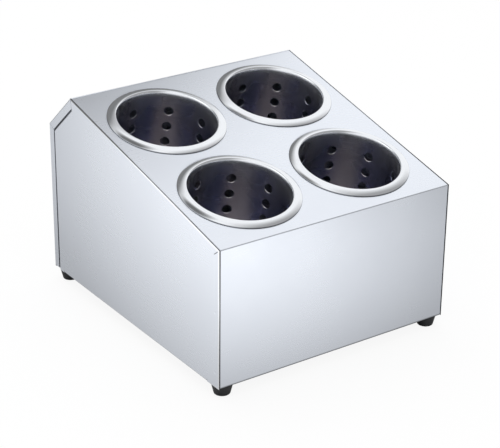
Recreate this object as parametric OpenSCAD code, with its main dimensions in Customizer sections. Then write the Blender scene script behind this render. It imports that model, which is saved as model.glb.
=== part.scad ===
// Countertop cutlery dispenser.
// A case of folded stainless steel sheet has a sloping deck with four round holes. A perforated cup
// hangs by its rim in each hole and lifts out. The case stands on four rubber feet.
// The origin is on the table, under the middle of the case. X runs to the right along the front,
// Y from the front to the back and Z up. All sizes are in millimetres, and angles in degrees.

/* [Deck] */
// Slope of the deck, which rises from front to back
deck_slope = 12.75; // [8:0.25:18]
// Free deck between the rims of two cups that stand side by side
rim_gap_x = 10; // [5:0.5:30]
// Free deck between the rims of a front cup and a rear cup, along the slope
rim_gap_y = 11.5; // [5:0.5:30]
// Free deck from a rim to the side of the case
side_margin = 10; // [6:0.5:30]
// Free deck from a front rim to the fold at the front
front_margin = 11.5; // [6:0.5:30]
// Free deck from a rear rim to the rear edge of the deck
rear_margin = 11.5; // [6:0.5:30]
// Clearance around a cup in its hole in the deck
hole_clear = 1.5; // [0.5:0.1:3]

/* [Case] */
// Thickness of the sheet steel
sheet_t = 1; // [0.8:0.1:1.5]
// Inner radius of the fold between the front and the deck
fold_r = 0.5; // [0.2:0.1:2]
// Depth of the slanted corner along the top of the back
chamfer_d = 45; // [35:0.5:55]
// Height of the slanted corner along the top of the back
chamfer_h = 40.5; // [30:0.5:50]
// Width of the rear cover's returns, seen on the sides
return_w = 9; // [6:0.5:14]
// Open seam between a side panel and the rear cover's return
seam_gap = 1; // [0.4:0.1:2]
// Width of the stepped-in tongue on which the rear cover's return lies
tongue_w = 12.5; // [11:0.5:18]
// Width of the front sheet's flanges, folded in behind the side panels
flange_w = 9.5; // [6:0.5:12]
// Width of the slit where the front flange meets the deck flange
mitre_slit = 0.6; // [0.3:0.1:1.5]
// Length of the deck's rear flange, folded down under the rear cover
rear_flange_l = 12; // [8:0.5:20]
// Clearance between the sheets where they meet
joint_gap = 0.2; // [0.1:0.05:0.4]
// How far the lips along the bottom reach in past the middle of the rear feet
lip_reach = 7; // [6:0.5:20]
// Height of the base tray's upturned rim
tray_rim_h = 8; // [5:0.5:12]
// Clearance around the base tray inside the case
tray_gap = 0.5; // [0.5:0.1:2]
// Room from the base tray up to the lowest point of the front cups
cup_floor_gap = 13.2; // [9:0.1:40]

/* [Cups] */
// Outer diameter of a cup's rim
rim_d = 117.5; // [105:0.5:135]
// How far the rim stands out past the wall
rim_reach = 9.75; // [7:0.25:14]
// Height of the rim's crest above the deck
rim_h = 3.2; // [2.6:0.1:5]
// Drop of the rim's outer edge, where its curve turns down
rim_edge_h = 0.9; // [0.6:0.1:1.4]
// Clearance between the rim's edge and the deck
rim_seat_gap = 0.3; // [0.1:0.05:0.4]
// Radius of the flare from the wall into the rim
flare_r = 1.6; // [1:0.1:2]
// Overall height of a cup
cup_h = 137; // [110:1:160]
// Thickness of a cup's wall
cup_t = 0.6; // [0.5:0.1:1]
// Outer radius between the wall and the floor
floor_r = 6; // [2:0.5:12]
// Turn of the cups in their holes: front left, front right, rear left, rear right
cup_turn = [40.5, 3, 31.5, 26]; // [0:0.5:45]

/* [Perforations] */
// Diameter of the drain holes in a cup
drain_d = 9.5; // [5:0.5:12]
// Number of upright rows of holes around a cup
drain_columns = 8; // [6:1:10]
// Depth of the highest holes below the deck
first_row = 19; // [12:0.5:40]
// Distance from one ring of holes to the next
row_pitch = 18; // [14:0.5:30]
// Least distance from the lowest ring of holes to the floor
last_row_clear = 20; // [14:0.5:40]
// Number of holes in the ring in a cup's floor
floor_holes = 6; // [4:1:8]
// Diameter of the ring of holes in a cup's floor
floor_ring_d = 54; // [40:1:70]

/* [Feet] */
// Height of a rubber foot
foot_h = 11; // [9:0.5:20]
// Diameter of a foot at the case
foot_top_d = 21; // [18:0.5:28]
// Diameter of a foot on the table, to where its rounded edge begins to turn up
foot_bottom_d = 16; // [15.5:0.5:20]
// Radius of the edge on which a foot stands
foot_edge_r = 1; // [0.4:0.1:1.2]
// Distance from a foot to the side of the case
foot_side_gap = 0.5; // [0.2:0.1:12]
// Distance from a front foot to the front of the case
foot_front_gap = 0.5; // [0.2:0.1:12]
// Distance from a rear foot to the back of the case
foot_rear_gap = 2.5; // [0.2:0.1:12]
// Thickness of rubber between the washer and the case
foot_web = 4; // [2:0.5:5]

/* [Fasteners] */
// Diameter of the foot screws
screw_d = 5; // [4:0.5:6]
// Diameter of a screw head
head_d = 9; // [8:0.5:10]
// Height of a screw head
head_h = 3.2; // [2:0.1:3.6]
// Length of a screw past its nut
screw_end = 1.5; // [0.5:0.5:6]
// Thickness of the washer in a foot
washer_t = 1; // [0.6:0.1:1.4]
// Width of a nut across its flats
nut_af = 8; // [7.5:0.5:10]
// Height of a nut
nut_h = 4; // [3:0.5:6]

/* [Hidden] */
$fn = 96;

steel = [0.80, 0.81, 0.82];
cup_steel = [0.66, 0.67, 0.69];
rubber = [0.07, 0.07, 0.08];
zinc = [0.72, 0.73, 0.72];

LEFT = -1;
RIGHT = 1;
FRONT = -1;
REAR = 1;

// Cups, measured from the deck's upper face along the cup's own axis
cup_r = rim_d / 2 - rim_reach;
crest_r = cup_r + flare_r;
cup_bottom = rim_h - cup_h;
hole_r = cup_r + hole_clear;
cup_x = (rim_d + rim_gap_x) / 2;
front_cup_s = front_margin + rim_d / 2;
rear_cup_s = front_cup_s + rim_d + rim_gap_y;
drain_rows = floor((-cup_bottom - last_row_clear - first_row) / row_pitch) + 1;

// Case
deck_l = rear_cup_s + rim_d / 2 + rear_margin;
case_w = 2 * (cup_x + rim_d / 2 + side_margin);
case_d = deck_l * cos(deck_slope) + chamfer_d;
cup_drop = -cup_bottom * cos(deck_slope) + cup_r * sin(deck_slope) - front_cup_s * sin(deck_slope);
front_h = 2 * sheet_t + cup_floor_gap + cup_drop;
front_y = -case_d / 2;
rear_y = case_d / 2;
base_z = foot_h;
front_top_z = base_z + front_h;
rear_top_z = front_top_z + deck_l * sin(deck_slope);
inner_x = case_w / 2 - sheet_t;          // inner face of a side panel
wrap_x = inner_x - joint_gap;            // side edge of the front and deck sheet
sheet_lift = 2 * sheet_t + tray_gap;     // foot of the inner flanges, above the base tray's plate

// Feet and fasteners
foot_x = case_w / 2 - foot_side_gap - foot_top_d / 2;
foot_front_y = front_y + foot_front_gap + foot_top_d / 2;
foot_rear_y = rear_y - foot_rear_gap - foot_top_d / 2;
lip_w = max(foot_front_gap, foot_rear_gap) + foot_top_d / 2 + lip_reach;
shank_r = screw_d / 2 - 0.05;
bolt_hole_r = screw_d / 2 + 0.25;
recess_r = head_d / 2 + 1;
recess_top = foot_h - foot_web;
nut_z = base_z + 2 * sheet_t;

// The outline of the case seen from the side, as [y, z], anticlockwise from the front bottom corner
FRONT_BOTTOM = 0;
REAR_BOTTOM = 1;
CHAMFER_LOW = 2;
REAR_TOP = 3;
FRONT_TOP = 4;
corners = [
    [front_y, base_z],
    [rear_y, base_z],
    [rear_y, rear_top_z - chamfer_h],
    [rear_y - chamfer_d, rear_top_z],
    [front_y, front_top_z]
];

function corner(i) = corners[(i + len(corners)) % len(corners)];
function unit(v) = v / norm(v);
function left_of(v) = [-v[1], v[0]];
function inward(i) = left_of(unit(corner(i + 1) - corner(i)));

// The point near corner i that lies `before` inside the edge before it and `after` inside the edge after it
function inset(i, before, after) =
    let (a = inward(i - 1), b = inward(i), det = a[0] * b[1] - a[1] * b[0])
    corner(i) + [before * b[1] - after * a[1], after * a[0] - before * b[0]] / det;

function arc(centre, r, from, to, steps) =
    [for (i = [0:steps]) let (a = from + (to - from) * i / steps) centre + r * [cos(a), sin(a)]];

// A quarter of an ellipse from its outer end up to its crest
function quarter(centre, rx, ry, steps) =
    [for (i = [0:steps]) let (a = 90 * i / steps) centre + [rx * cos(a), ry * sin(a)]];

function reverse(points) = [for (i = [len(points) - 1:-1:0]) points[i]];

// The fold between the front and the deck, at a radius about its own centre
function front_fold(r) =
    let (centre = inset(FRONT_TOP, fold_r + sheet_t, fold_r + sheet_t))
    arc(centre, r, 180, 90 + deck_slope, 6);

// A plate from x0 to x1 whose outline, as [y, z], is that of the case seen from the side
module side_plate(x0, x1, outline) {
    translate([x0, 0, 0])
        rotate([90, 0, 90])
            linear_extrude(x1 - x0)
                polygon(outline);
}

// A point on the deck's upper face: x from the middle, s up the slope from the front edge
module on_deck(x, s) {
    translate([x, front_y + s * cos(deck_slope), front_top_z + s * sin(deck_slope)])
        rotate([deck_slope, 0, 0])
            children();
}

module at_foot(side, end) {
    translate([side * foot_x, end == FRONT ? foot_front_y : foot_rear_y, 0])
        children();
}

module bolt_holes(ends) {
    for (side = [LEFT, RIGHT], end = ends)
        at_foot(side, end)
            translate([0, 0, base_z - sheet_t])
                cylinder(r = bolt_hole_r, h = 4 * sheet_t);
}

module both_sides() {
    children();
    mirror([1, 0, 0])
        children();
}

// Front, deck, side flanges, rear flange and front lip, all folded from one sheet
module front_and_deck() {
    down = unit(corner(CHAMFER_LOW) - corner(REAR_TOP));
    color(steel)
        difference() {
            union() {
                side_plate(-wrap_x, wrap_x, concat(
                    [inset(FRONT_BOTTOM, 0, 0)],
                    front_fold(fold_r + sheet_t),
                    [inset(REAR_TOP, sheet_t, 0), inset(REAR_TOP, sheet_t, sheet_t)],
                    reverse(front_fold(fold_r)),
                    [inset(FRONT_BOTTOM, sheet_t, 0)]
                ));
                side_plate(-inner_x + 2 * sheet_t, inner_x - 2 * sheet_t, [
                    inset(REAR_TOP, sheet_t, 0),
                    inset(REAR_TOP, sheet_t, 0) + rear_flange_l * down,
                    inset(REAR_TOP, 2 * sheet_t, 0) + rear_flange_l * down,
                    inset(REAR_TOP, 2 * sheet_t, 0)
                ]);
                side_plate(-wrap_x, wrap_x, [
                    inset(FRONT_BOTTOM, 0, 0),
                    inset(FRONT_BOTTOM, lip_w, 0),
                    inset(FRONT_BOTTOM, lip_w, sheet_t),
                    inset(FRONT_BOTTOM, 0, sheet_t)
                ]);
                both_sides()
                    side_flange();
            }
            for (x = [-cup_x, cup_x], s = [front_cup_s, rear_cup_s])
                on_deck(x, s)
                    translate([0, 0, -3 * sheet_t])
                        cylinder(r = hole_r, h = 6 * sheet_t);
            bolt_holes([FRONT]);
        }
}

// The right flange that runs up behind the front and back under the deck, with its mitred corner
module side_flange() {
    tip = flange_w + 2 * mitre_slit;
    difference() {
        side_plate(wrap_x - sheet_t, wrap_x, concat(
            [inset(FRONT_BOTTOM, 0, sheet_lift)],
            front_fold(fold_r + sheet_t),
            [
                inset(REAR_TOP, tongue_w + 1, 0),
                inset(REAR_TOP, tongue_w + 1, flange_w),
                inset(FRONT_TOP, flange_w, flange_w),
                inset(FRONT_BOTTOM, flange_w, sheet_lift)
            ]
        ));
        side_plate(wrap_x - 2 * sheet_t, wrap_x + sheet_t, [
            inset(FRONT_TOP, 0, mitre_slit),
            inset(FRONT_TOP, mitre_slit, 0),
            inset(FRONT_TOP, tip + mitre_slit, tip),
            inset(FRONT_TOP, tip, tip + mitre_slit)
        ]);
    }
}

// The right side panel, with its stepped-in tongue along the rear and its bottom lip
module side_panel() {
    seam = return_w + seam_gap;
    lip_front = front_y + lip_w + joint_gap;
    lip_rear = rear_y - lip_w - joint_gap;
    color(steel) {
        side_plate(inner_x, inner_x + sheet_t, [
            corner(FRONT_BOTTOM),
            inset(REAR_BOTTOM, 0, seam),
            inset(CHAMFER_LOW, seam, seam),
            inset(REAR_TOP, seam, seam),
            corner(REAR_TOP),
            corner(FRONT_TOP)
        ]);
        side_plate(inner_x - sheet_t, inner_x, [
            inset(REAR_BOTTOM, sheet_lift, tongue_w),
            inset(REAR_BOTTOM, sheet_lift, 2 * sheet_t),
            inset(CHAMFER_LOW, 2 * sheet_t, 2 * sheet_t),
            inset(REAR_TOP, 2 * sheet_t, 2 * sheet_t),
            inset(REAR_TOP, tongue_w, 2 * sheet_t),
            inset(CHAMFER_LOW, tongue_w, tongue_w)
        ]);
        translate([case_w / 2 - lip_w, lip_front, base_z])
            cube([lip_w - sheet_t / 2, lip_rear - lip_front, sheet_t]);
    }
}

module right_side_panel() {
    side_panel();
}

module left_side_panel() {
    mirror([1, 0, 0])
        side_panel();
}

// Back, slanted corner, side returns and rear lip, all folded from one sheet
module rear_cover() {
    color(steel)
        difference() {
            union() {
                side_plate(-inner_x, inner_x, [
                    corner(REAR_BOTTOM),
                    corner(CHAMFER_LOW),
                    corner(REAR_TOP),
                    inset(REAR_TOP, sheet_t, 0),
                    inset(CHAMFER_LOW, sheet_t, sheet_t),
                    inset(REAR_BOTTOM, 0, sheet_t)
                ]);
                side_plate(-wrap_x, wrap_x, [
                    corner(REAR_BOTTOM),
                    inset(REAR_BOTTOM, sheet_t, 0),
                    inset(REAR_BOTTOM, sheet_t, lip_w),
                    inset(REAR_BOTTOM, 0, lip_w)
                ]);
                both_sides()
                    side_plate(inner_x, inner_x + sheet_t, [
                        corner(REAR_BOTTOM),
                        corner(CHAMFER_LOW),
                        inset(REAR_TOP, 0, joint_gap),
                        inset(REAR_TOP, return_w, return_w + joint_gap),
                        inset(CHAMFER_LOW, return_w, return_w),
                        inset(REAR_BOTTOM, 0, return_w)
                    ]);
            }
            bolt_holes([REAR]);
        }
}

// A shallow tray that lies on the lips, catches drips from the cups and closes the case below
module base_tray() {
    w = 2 * (inner_x - sheet_t - tray_gap);
    d = case_d - 2 * (sheet_t + tray_gap);
    color(steel)
        translate([0, 0, base_z + sheet_t])
            difference() {
                translate([-w / 2, -d / 2, 0])
                    cube([w, d, tray_rim_h]);
                translate([sheet_t - w / 2, sheet_t - d / 2, sheet_t])
                    cube([w - 2 * sheet_t, d - 2 * sheet_t, tray_rim_h]);
                translate([0, 0, -base_z - sheet_t])
                    bolt_holes([FRONT, REAR]);
            }
}

// Half of a cup's section, as [radius, height above the deck]
function cup_section() =
    let (
        floor_centre = [cup_r - floor_r, cup_bottom + floor_r],
        flare_centre = [crest_r, rim_h - cup_t - flare_r],
        rim_centre = [crest_r, rim_edge_h],
        rim_rx = rim_d / 2 - crest_r,
        rim_ry = rim_h - rim_edge_h
    )
    concat(
        [[0, cup_bottom]],
        arc(floor_centre, floor_r, -90, 0, 8),
        arc(flare_centre, flare_r, 180, 90, 6),
        reverse(quarter(rim_centre, rim_rx - cup_t, rim_ry - cup_t, 12)),
        [[rim_d / 2 - cup_t, rim_seat_gap], [rim_d / 2, rim_seat_gap]],
        quarter(rim_centre, rim_rx, rim_ry, 12),
        arc(flare_centre, flare_r + cup_t, 90, 180, 6),
        arc(floor_centre, floor_r - cup_t, 0, -90, 8),
        [[0, cup_bottom + cup_t]]
    );

// A cup in its place: side and end choose the hole, turn is its angle in the hole
module cup(side, end, turn) {
    color(cup_steel)
        on_deck(side * cup_x, end == FRONT ? front_cup_s : rear_cup_s)
            rotate([0, 0, turn])
                difference() {
                    rotate_extrude()
                        polygon(cup_section());
                    wall_holes();
                    floor_drain();
                }
}

// Rings of holes through the wall, half a step round from the section's own plane
module wall_holes() {
    for (row = [0:drain_rows - 1], column = [0:drain_columns - 1])
        translate([0, 0, -first_row - row * row_pitch])
            rotate([0, 90, 360 / drain_columns * (column + 0.5)])
                translate([0, 0, cup_r - 4])
                    cylinder(d = drain_d, h = 6);
}

module floor_drain() {
    translate([0, 0, cup_bottom - cup_t]) {
        cylinder(d = drain_d, h = 3 * cup_t);
        for (i = [0:floor_holes - 1])
            rotate([0, 0, 360 / floor_holes * (i + 0.5)])
                translate([floor_ring_d / 2, 0, 0])
                    cylinder(d = drain_d, h = 3 * cup_t);
    }
}

module cup_front_left() { cup(LEFT, FRONT, cup_turn[0]); }
module cup_front_right() { cup(RIGHT, FRONT, cup_turn[1]); }
module cup_rear_left() { cup(LEFT, REAR, cup_turn[2]); }
module cup_rear_right() { cup(RIGHT, REAR, cup_turn[3]); }

// A tapered foot with a recess below for the screw head and its washer
module foot(side, end) {
    wall = atan((foot_top_d - foot_bottom_d) / 2 / foot_h);
    edge_centre = [foot_bottom_d / 2 - foot_edge_r, foot_edge_r];
    color(rubber)
        at_foot(side, end)
            rotate_extrude()
                polygon(concat(
                    [[recess_r, 0]],
                    arc(edge_centre, foot_edge_r, -90, -wall, 6),
                    [[foot_top_d / 2, foot_h], [bolt_hole_r, foot_h],
                     [bolt_hole_r, recess_top], [recess_r, recess_top]]
                ));
}

module foot_washer(side, end) {
    color(zinc)
        at_foot(side, end)
            translate([0, 0, recess_top - washer_t])
                difference() {
                    cylinder(r = recess_r - 0.2, h = washer_t);
                    translate([0, 0, -1])
                        cylinder(r = bolt_hole_r, h = washer_t + 2);
                }
}

module foot_screw(side, end) {
    head_top = recess_top - washer_t;
    slot_l = 0.55 * head_d;
    slot_w = 0.14 * head_d;
    color(zinc)
        at_foot(side, end)
            difference() {
                union() {
                    translate([0, 0, head_top - head_h])
                        cylinder(d1 = 0.8 * head_d, d2 = head_d, h = head_h / 2);
                    translate([0, 0, head_top - head_h / 2])
                        cylinder(d = head_d, h = head_h / 2);
                    translate([0, 0, head_top - head_h / 2])
                        cylinder(r = shank_r, h = nut_z + nut_h + screw_end - head_top + head_h / 2);
                }
                for (turn = [0, 90])
                    rotate([0, 0, turn])
                        translate([-slot_l / 2, -slot_w / 2, head_top - head_h - 1])
                            cube([slot_l, slot_w, 1 + head_h / 2]);
            }
}

module foot_nut(side, end) {
    color(zinc)
        at_foot(side, end)
            translate([0, 0, nut_z])
                difference() {
                    cylinder(d = nut_af / cos(30), h = nut_h, $fn = 6);
                    translate([0, 0, -1])
                        cylinder(d = screw_d, h = nut_h + 2);
                }
}

module foot_front_left() { foot(LEFT, FRONT); }
module foot_front_right() { foot(RIGHT, FRONT); }
module foot_rear_left() { foot(LEFT, REAR); }
module foot_rear_right() { foot(RIGHT, REAR); }
module foot_washer_front_left() { foot_washer(LEFT, FRONT); }
module foot_washer_front_right() { foot_washer(RIGHT, FRONT); }
module foot_washer_rear_left() { foot_washer(LEFT, REAR); }
module foot_washer_rear_right() { foot_washer(RIGHT, REAR); }
module foot_screw_front_left() { foot_screw(LEFT, FRONT); }
module foot_screw_front_right() { foot_screw(RIGHT, FRONT); }
module foot_screw_rear_left() { foot_screw(LEFT, REAR); }
module foot_screw_rear_right() { foot_screw(RIGHT, REAR); }
module foot_nut_front_left() { foot_nut(LEFT, FRONT); }
module foot_nut_front_right() { foot_nut(RIGHT, FRONT); }
module foot_nut_rear_left() { foot_nut(LEFT, REAR); }
module foot_nut_rear_right() { foot_nut(RIGHT, REAR); }

front_and_deck();
left_side_panel();
right_side_panel();
rear_cover();
base_tray();
cup_front_left();
cup_front_right();
cup_rear_left();
cup_rear_right();
foot_front_left();
foot_front_right();
foot_rear_left();
foot_rear_right();
foot_washer_front_left();
foot_washer_front_right();
foot_washer_rear_left();
foot_washer_rear_right();
foot_screw_front_left();
foot_screw_front_right();
foot_screw_rear_left();
foot_screw_rear_right();
foot_nut_front_left();
foot_nut_front_right();
foot_nut_rear_left();
foot_nut_rear_right();
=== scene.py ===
"""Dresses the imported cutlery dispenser: a folded steel case, four perforated cups and four rubber feet.

Every size below is in millimetres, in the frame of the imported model: X to the right along the front, Y from
the front to the back, Z up, and the origin on the table under the middle of the case.
"""
import logging
import math
from collections.abc import Callable, Iterable, Sequence
from dataclasses import dataclass, field
from enum import Enum, IntEnum

import bmesh
import bpy
from mathutils import Matrix, Vector
from mathutils.geometry import delaunay_2d_cdt


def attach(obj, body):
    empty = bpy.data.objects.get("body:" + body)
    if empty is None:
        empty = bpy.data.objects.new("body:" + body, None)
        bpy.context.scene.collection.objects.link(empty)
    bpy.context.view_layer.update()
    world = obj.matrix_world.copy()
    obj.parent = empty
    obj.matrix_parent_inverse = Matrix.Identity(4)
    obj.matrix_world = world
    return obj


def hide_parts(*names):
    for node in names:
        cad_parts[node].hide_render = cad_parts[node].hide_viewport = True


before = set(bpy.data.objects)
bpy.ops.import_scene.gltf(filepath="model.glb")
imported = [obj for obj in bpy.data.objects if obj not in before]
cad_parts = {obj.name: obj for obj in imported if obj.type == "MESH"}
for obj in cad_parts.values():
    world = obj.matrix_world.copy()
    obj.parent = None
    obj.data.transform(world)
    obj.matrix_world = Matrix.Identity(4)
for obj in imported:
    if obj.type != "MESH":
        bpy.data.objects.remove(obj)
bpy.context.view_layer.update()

Colour = tuple[float, float, float]
Loop = Sequence[Vector]
Socket = bpy.types.NodeSocket

MM = 0.001  # a millimetre in metres
DEBURR = 0.12  # the small bevel on a usual cut edge
BEND_STEPS = 5  # faces round a bend or a rounded edge
GRID = 2000  # places per millimetre that a skin tells apart
MIDDLE = Vector((0, 0, 0.1))  # what the lamps are aimed at, in metres
DOWN = Vector((0, 0, -1))
log = logging.getLogger("cutlery_dispenser")


class Half(Enum):
    """One half of the object, with its sign along the axis that it divides."""

    @property
    def word(self) -> str:
        """The half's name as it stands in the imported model."""
        return self.name.lower()


class Side(Half):
    """The left or the right half of the object."""

    LEFT = -1
    RIGHT = 1


class End(Half):
    """The front or the rear half of the object."""

    FRONT = -1
    REAR = 1


class Corner(IntEnum):
    """The corners of the case's outline, seen from the right and counted anticlockwise."""

    FRONT_BOTTOM = 0
    REAR_BOTTOM = 1
    CHAMFER_LOW = 2
    REAR_TOP = 3
    FRONT_TOP = 4


# Painted shade in the case's seams on each side: full on the left, light on the right.
SEAM_PAINTED_SHADE = {Side.LEFT: 1.0, Side.RIGHT: 0.3}
CUP_TURNS = {(End.FRONT, Side.LEFT): 40.5, (End.FRONT, Side.RIGHT): 3.0,
             (End.REAR, Side.LEFT): 31.5, (End.REAR, Side.RIGHT): 26.0}


# ---------------------------------------------------------------------------------------------- finishes


class NodeTree:
    """A node tree under construction."""

    def __init__(self, tree: bpy.types.NodeTree) -> None:
        """Takes over a tree and empties it.

        Args:
            tree: The tree.
        """
        self.tree = tree
        tree.nodes.clear()

    def fill(self, node: bpy.types.Node, ins: dict[str | int, object]) -> None:
        """Fills the inputs of a node.

        Args:
            node: The node.
            ins: A value, an output or None for each input, by name or number; a colour comes without alpha.
        """
        for key, value in ins.items():
            socket = node.inputs[key]
            if isinstance(value, Socket):
                self.tree.links.new(value, socket)
            elif value is not None:
                socket.default_value = (*value, 1.0) if socket.type == "RGBA" else value

    def node(self, kind: str, ins: dict[str | int, object] | None = None,
             **settings: object) -> bpy.types.Node:
        """Adds a node, sets its properties and fills its inputs.

        Args:
            kind: The node's type.
            ins: What goes into its inputs.
            settings: Properties of the node, by name.

        Returns:
            The new node.
        """
        made = self.tree.nodes.new(kind)
        for name, value in settings.items():
            setattr(made, name, value)
        self.fill(made, ins or {})
        return made

    def sum(self, operation: str, first: object, second: object = None) -> Socket:
        """A sum of one or two values."""
        return self.node("ShaderNodeMath", {0: first, 1: second}, operation=operation).outputs[0]

    def vector(self, operation: str, first: object, second: object = None) -> Socket:
        """A sum of one or two vectors, whose dot product or length is a value."""
        made = self.node("ShaderNodeVectorMath", {0: first, 1: second}, operation=operation)
        return made.outputs["Value" if operation in ("DOT_PRODUCT", "LENGTH") else "Vector"]

    def spread(self, value: Socket, low: float, high: float, start: float = 0.3, stop: float = 0.7) -> Socket:
        """Maps a value from one range to another.

        Args:
            value: The value.
            low: Result at the range's start.
            high: Result at the range's stop.
            start: Start of the range of the value.
            stop: Stop of the range of the value.

        Returns:
            The mapped value.
        """
        ins = {"Value": value, "From Min": start, "From Max": stop, "To Min": low, "To Max": high}
        return self.node("ShaderNodeMapRange", ins, clamp=True).outputs["Result"]


class Shader(NodeTree):
    """A material under construction, with short calls for the nodes that the finishes share."""

    def __init__(self, name: str) -> None:
        """Starts a material with a Principled shader on its output.

        Args:
            name: The material's name.
        """
        self.material = bpy.data.materials.new(name)
        self.material.use_nodes = True
        super().__init__(self.material.node_tree)
        self.surface = self.node("ShaderNodeBsdfPrincipled")
        self.output = self.node("ShaderNodeOutputMaterial", {"Surface": self.surface.outputs["BSDF"]})

    def dress(self, **ins: object) -> bpy.types.Material:
        """Fills inputs of the surface, with _ for a space in a name, and hands over the material."""
        self.fill(self.surface, {name.replace("_", " "): value for name, value in ins.items()})
        return self.material

    def attribute(self, name: str, output: str = "Fac") -> Socket:
        """An attribute of the mesh."""
        found = self.node("ShaderNodeAttribute", attribute_type="GEOMETRY", attribute_name=name)
        return found.outputs[output]

    def object_space(self, scale: Sequence[float] = (1.0, 1.0, 1.0)) -> Socket:
        """Object coordinates, scaled."""
        ins = {"Vector": self.node("ShaderNodeTexCoord").outputs["Object"], "Scale": scale}
        return self.node("ShaderNodeMapping", ins, vector_type="POINT").outputs[0]

    def noise(self, scale: float, detail: float, roughness: float, where: Socket | None = None) -> Socket:
        """Fractal noise, from 0 to 1.

        Args:
            scale: Cycles per unit of the coordinates.
            detail: Number of octaves.
            roughness: Share of the finer octaves.
            where: The coordinates, or None for the object's own.

        Returns:
            The noise.
        """
        ins = {"Vector": where or self.object_space(), "Scale": scale, "Detail": detail,
               "Roughness": roughness}
        return self.node("ShaderNodeTexNoise", ins, noise_dimensions="3D").outputs["Fac"]

    def mix(self, share: Socket, first: Socket | Colour, second: Socket | Colour) -> Socket:
        """A colour between two others, by the share of the second."""
        ins = {0: share, 6: first, 7: second}
        return self.node("ShaderNodeMix", ins, data_type="RGBA", blend_type="MIX").outputs[2]

    def bump(self, height: Socket, depth: float, strength: float) -> Socket:
        """The normal of a relief, from its height, its depth in metres and the share of it that is used."""
        ins = {"Height": height, "Distance": depth, "Strength": strength}
        return self.node("ShaderNodeBump", ins).outputs["Normal"]


@dataclass(frozen=True)
class SatinSheet:
    """Stainless sheet with a fine satin grain, as rolled and then folded."""

    name: str = "case_satin_steel"
    pale: Colour = (0.854, 0.893, 0.962)
    dull: Colour = (0.829, 0.868, 0.940)
    # Painted highlight: the lighter colour of the rounded edges, which are also smoother.
    burnished: Colour = (0.94, 0.955, 0.985)
    # Painted shade: the dark colour of the seams and of the bends under the case.
    grime: Colour = (0.07, 0.072, 0.08)
    smooth: float = 0.26
    rough: float = 0.30
    polish: float = 0.12
    smear: float = 0.012
    streak: float = 0.006
    grain_along: float = 30.0
    grain_across: float = 900.0
    relief: float = 0.0000012

    def material(self) -> bpy.types.Material:
        """Builds the material; its grain runs along X, or along Y where the grain attribute is 1.

        Returns:
            The material.
        """
        shade = Shader(self.name)
        along, across = self.grain_along, self.grain_across
        course = shade.node("ShaderNodeMix", {
            0: shade.attribute("grain"), 4: shade.object_space((along, across, across)),
            5: shade.object_space((across, along, across))}, data_type="VECTOR").outputs[1]
        lines = shade.noise(1.0, 2.0, 0.55, course)
        clouds, marks = shade.noise(9.0, 4.0, 0.6), shade.noise(45.0, 2.0, 0.5)
        # The seam attribute is painted shade from 0 to 1 in the seams and on the bends under the case, and -1
        # on rounded edges for a painted highlight.
        seam = shade.attribute("seam")
        steel = shade.mix(shade.spread(clouds, 0.0, 1.0), self.pale, self.dull)
        # Painted highlight: the rounded edges, where the seam attribute is -1, are made lighter.
        edges = shade.mix(shade.spread(seam, 1.0, 0.0, -1.0, 0.0), steel, self.burnished)
        fine = shade.sum("ADD", shade.spread(marks, 0.0, self.smear, 0.5, 0.75),
                         shade.spread(lines, -self.streak, self.streak))
        worn = shade.sum("ADD", fine, shade.spread(seam, -self.polish, 0.0, -1.0, 0.0))
        # Painted shade: the colour goes dark where the seam attribute is above 0.
        return shade.dress(
            Base_Color=shade.mix(shade.spread(seam, 0.0, 1.0, 0.0, 1.0), edges, self.grime),
            Roughness=shade.sum("ADD", shade.spread(clouds, self.smooth, self.rough), worn),
            Normal=shade.bump(lines, self.relief, 0.06), Metallic=1.0)


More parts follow.
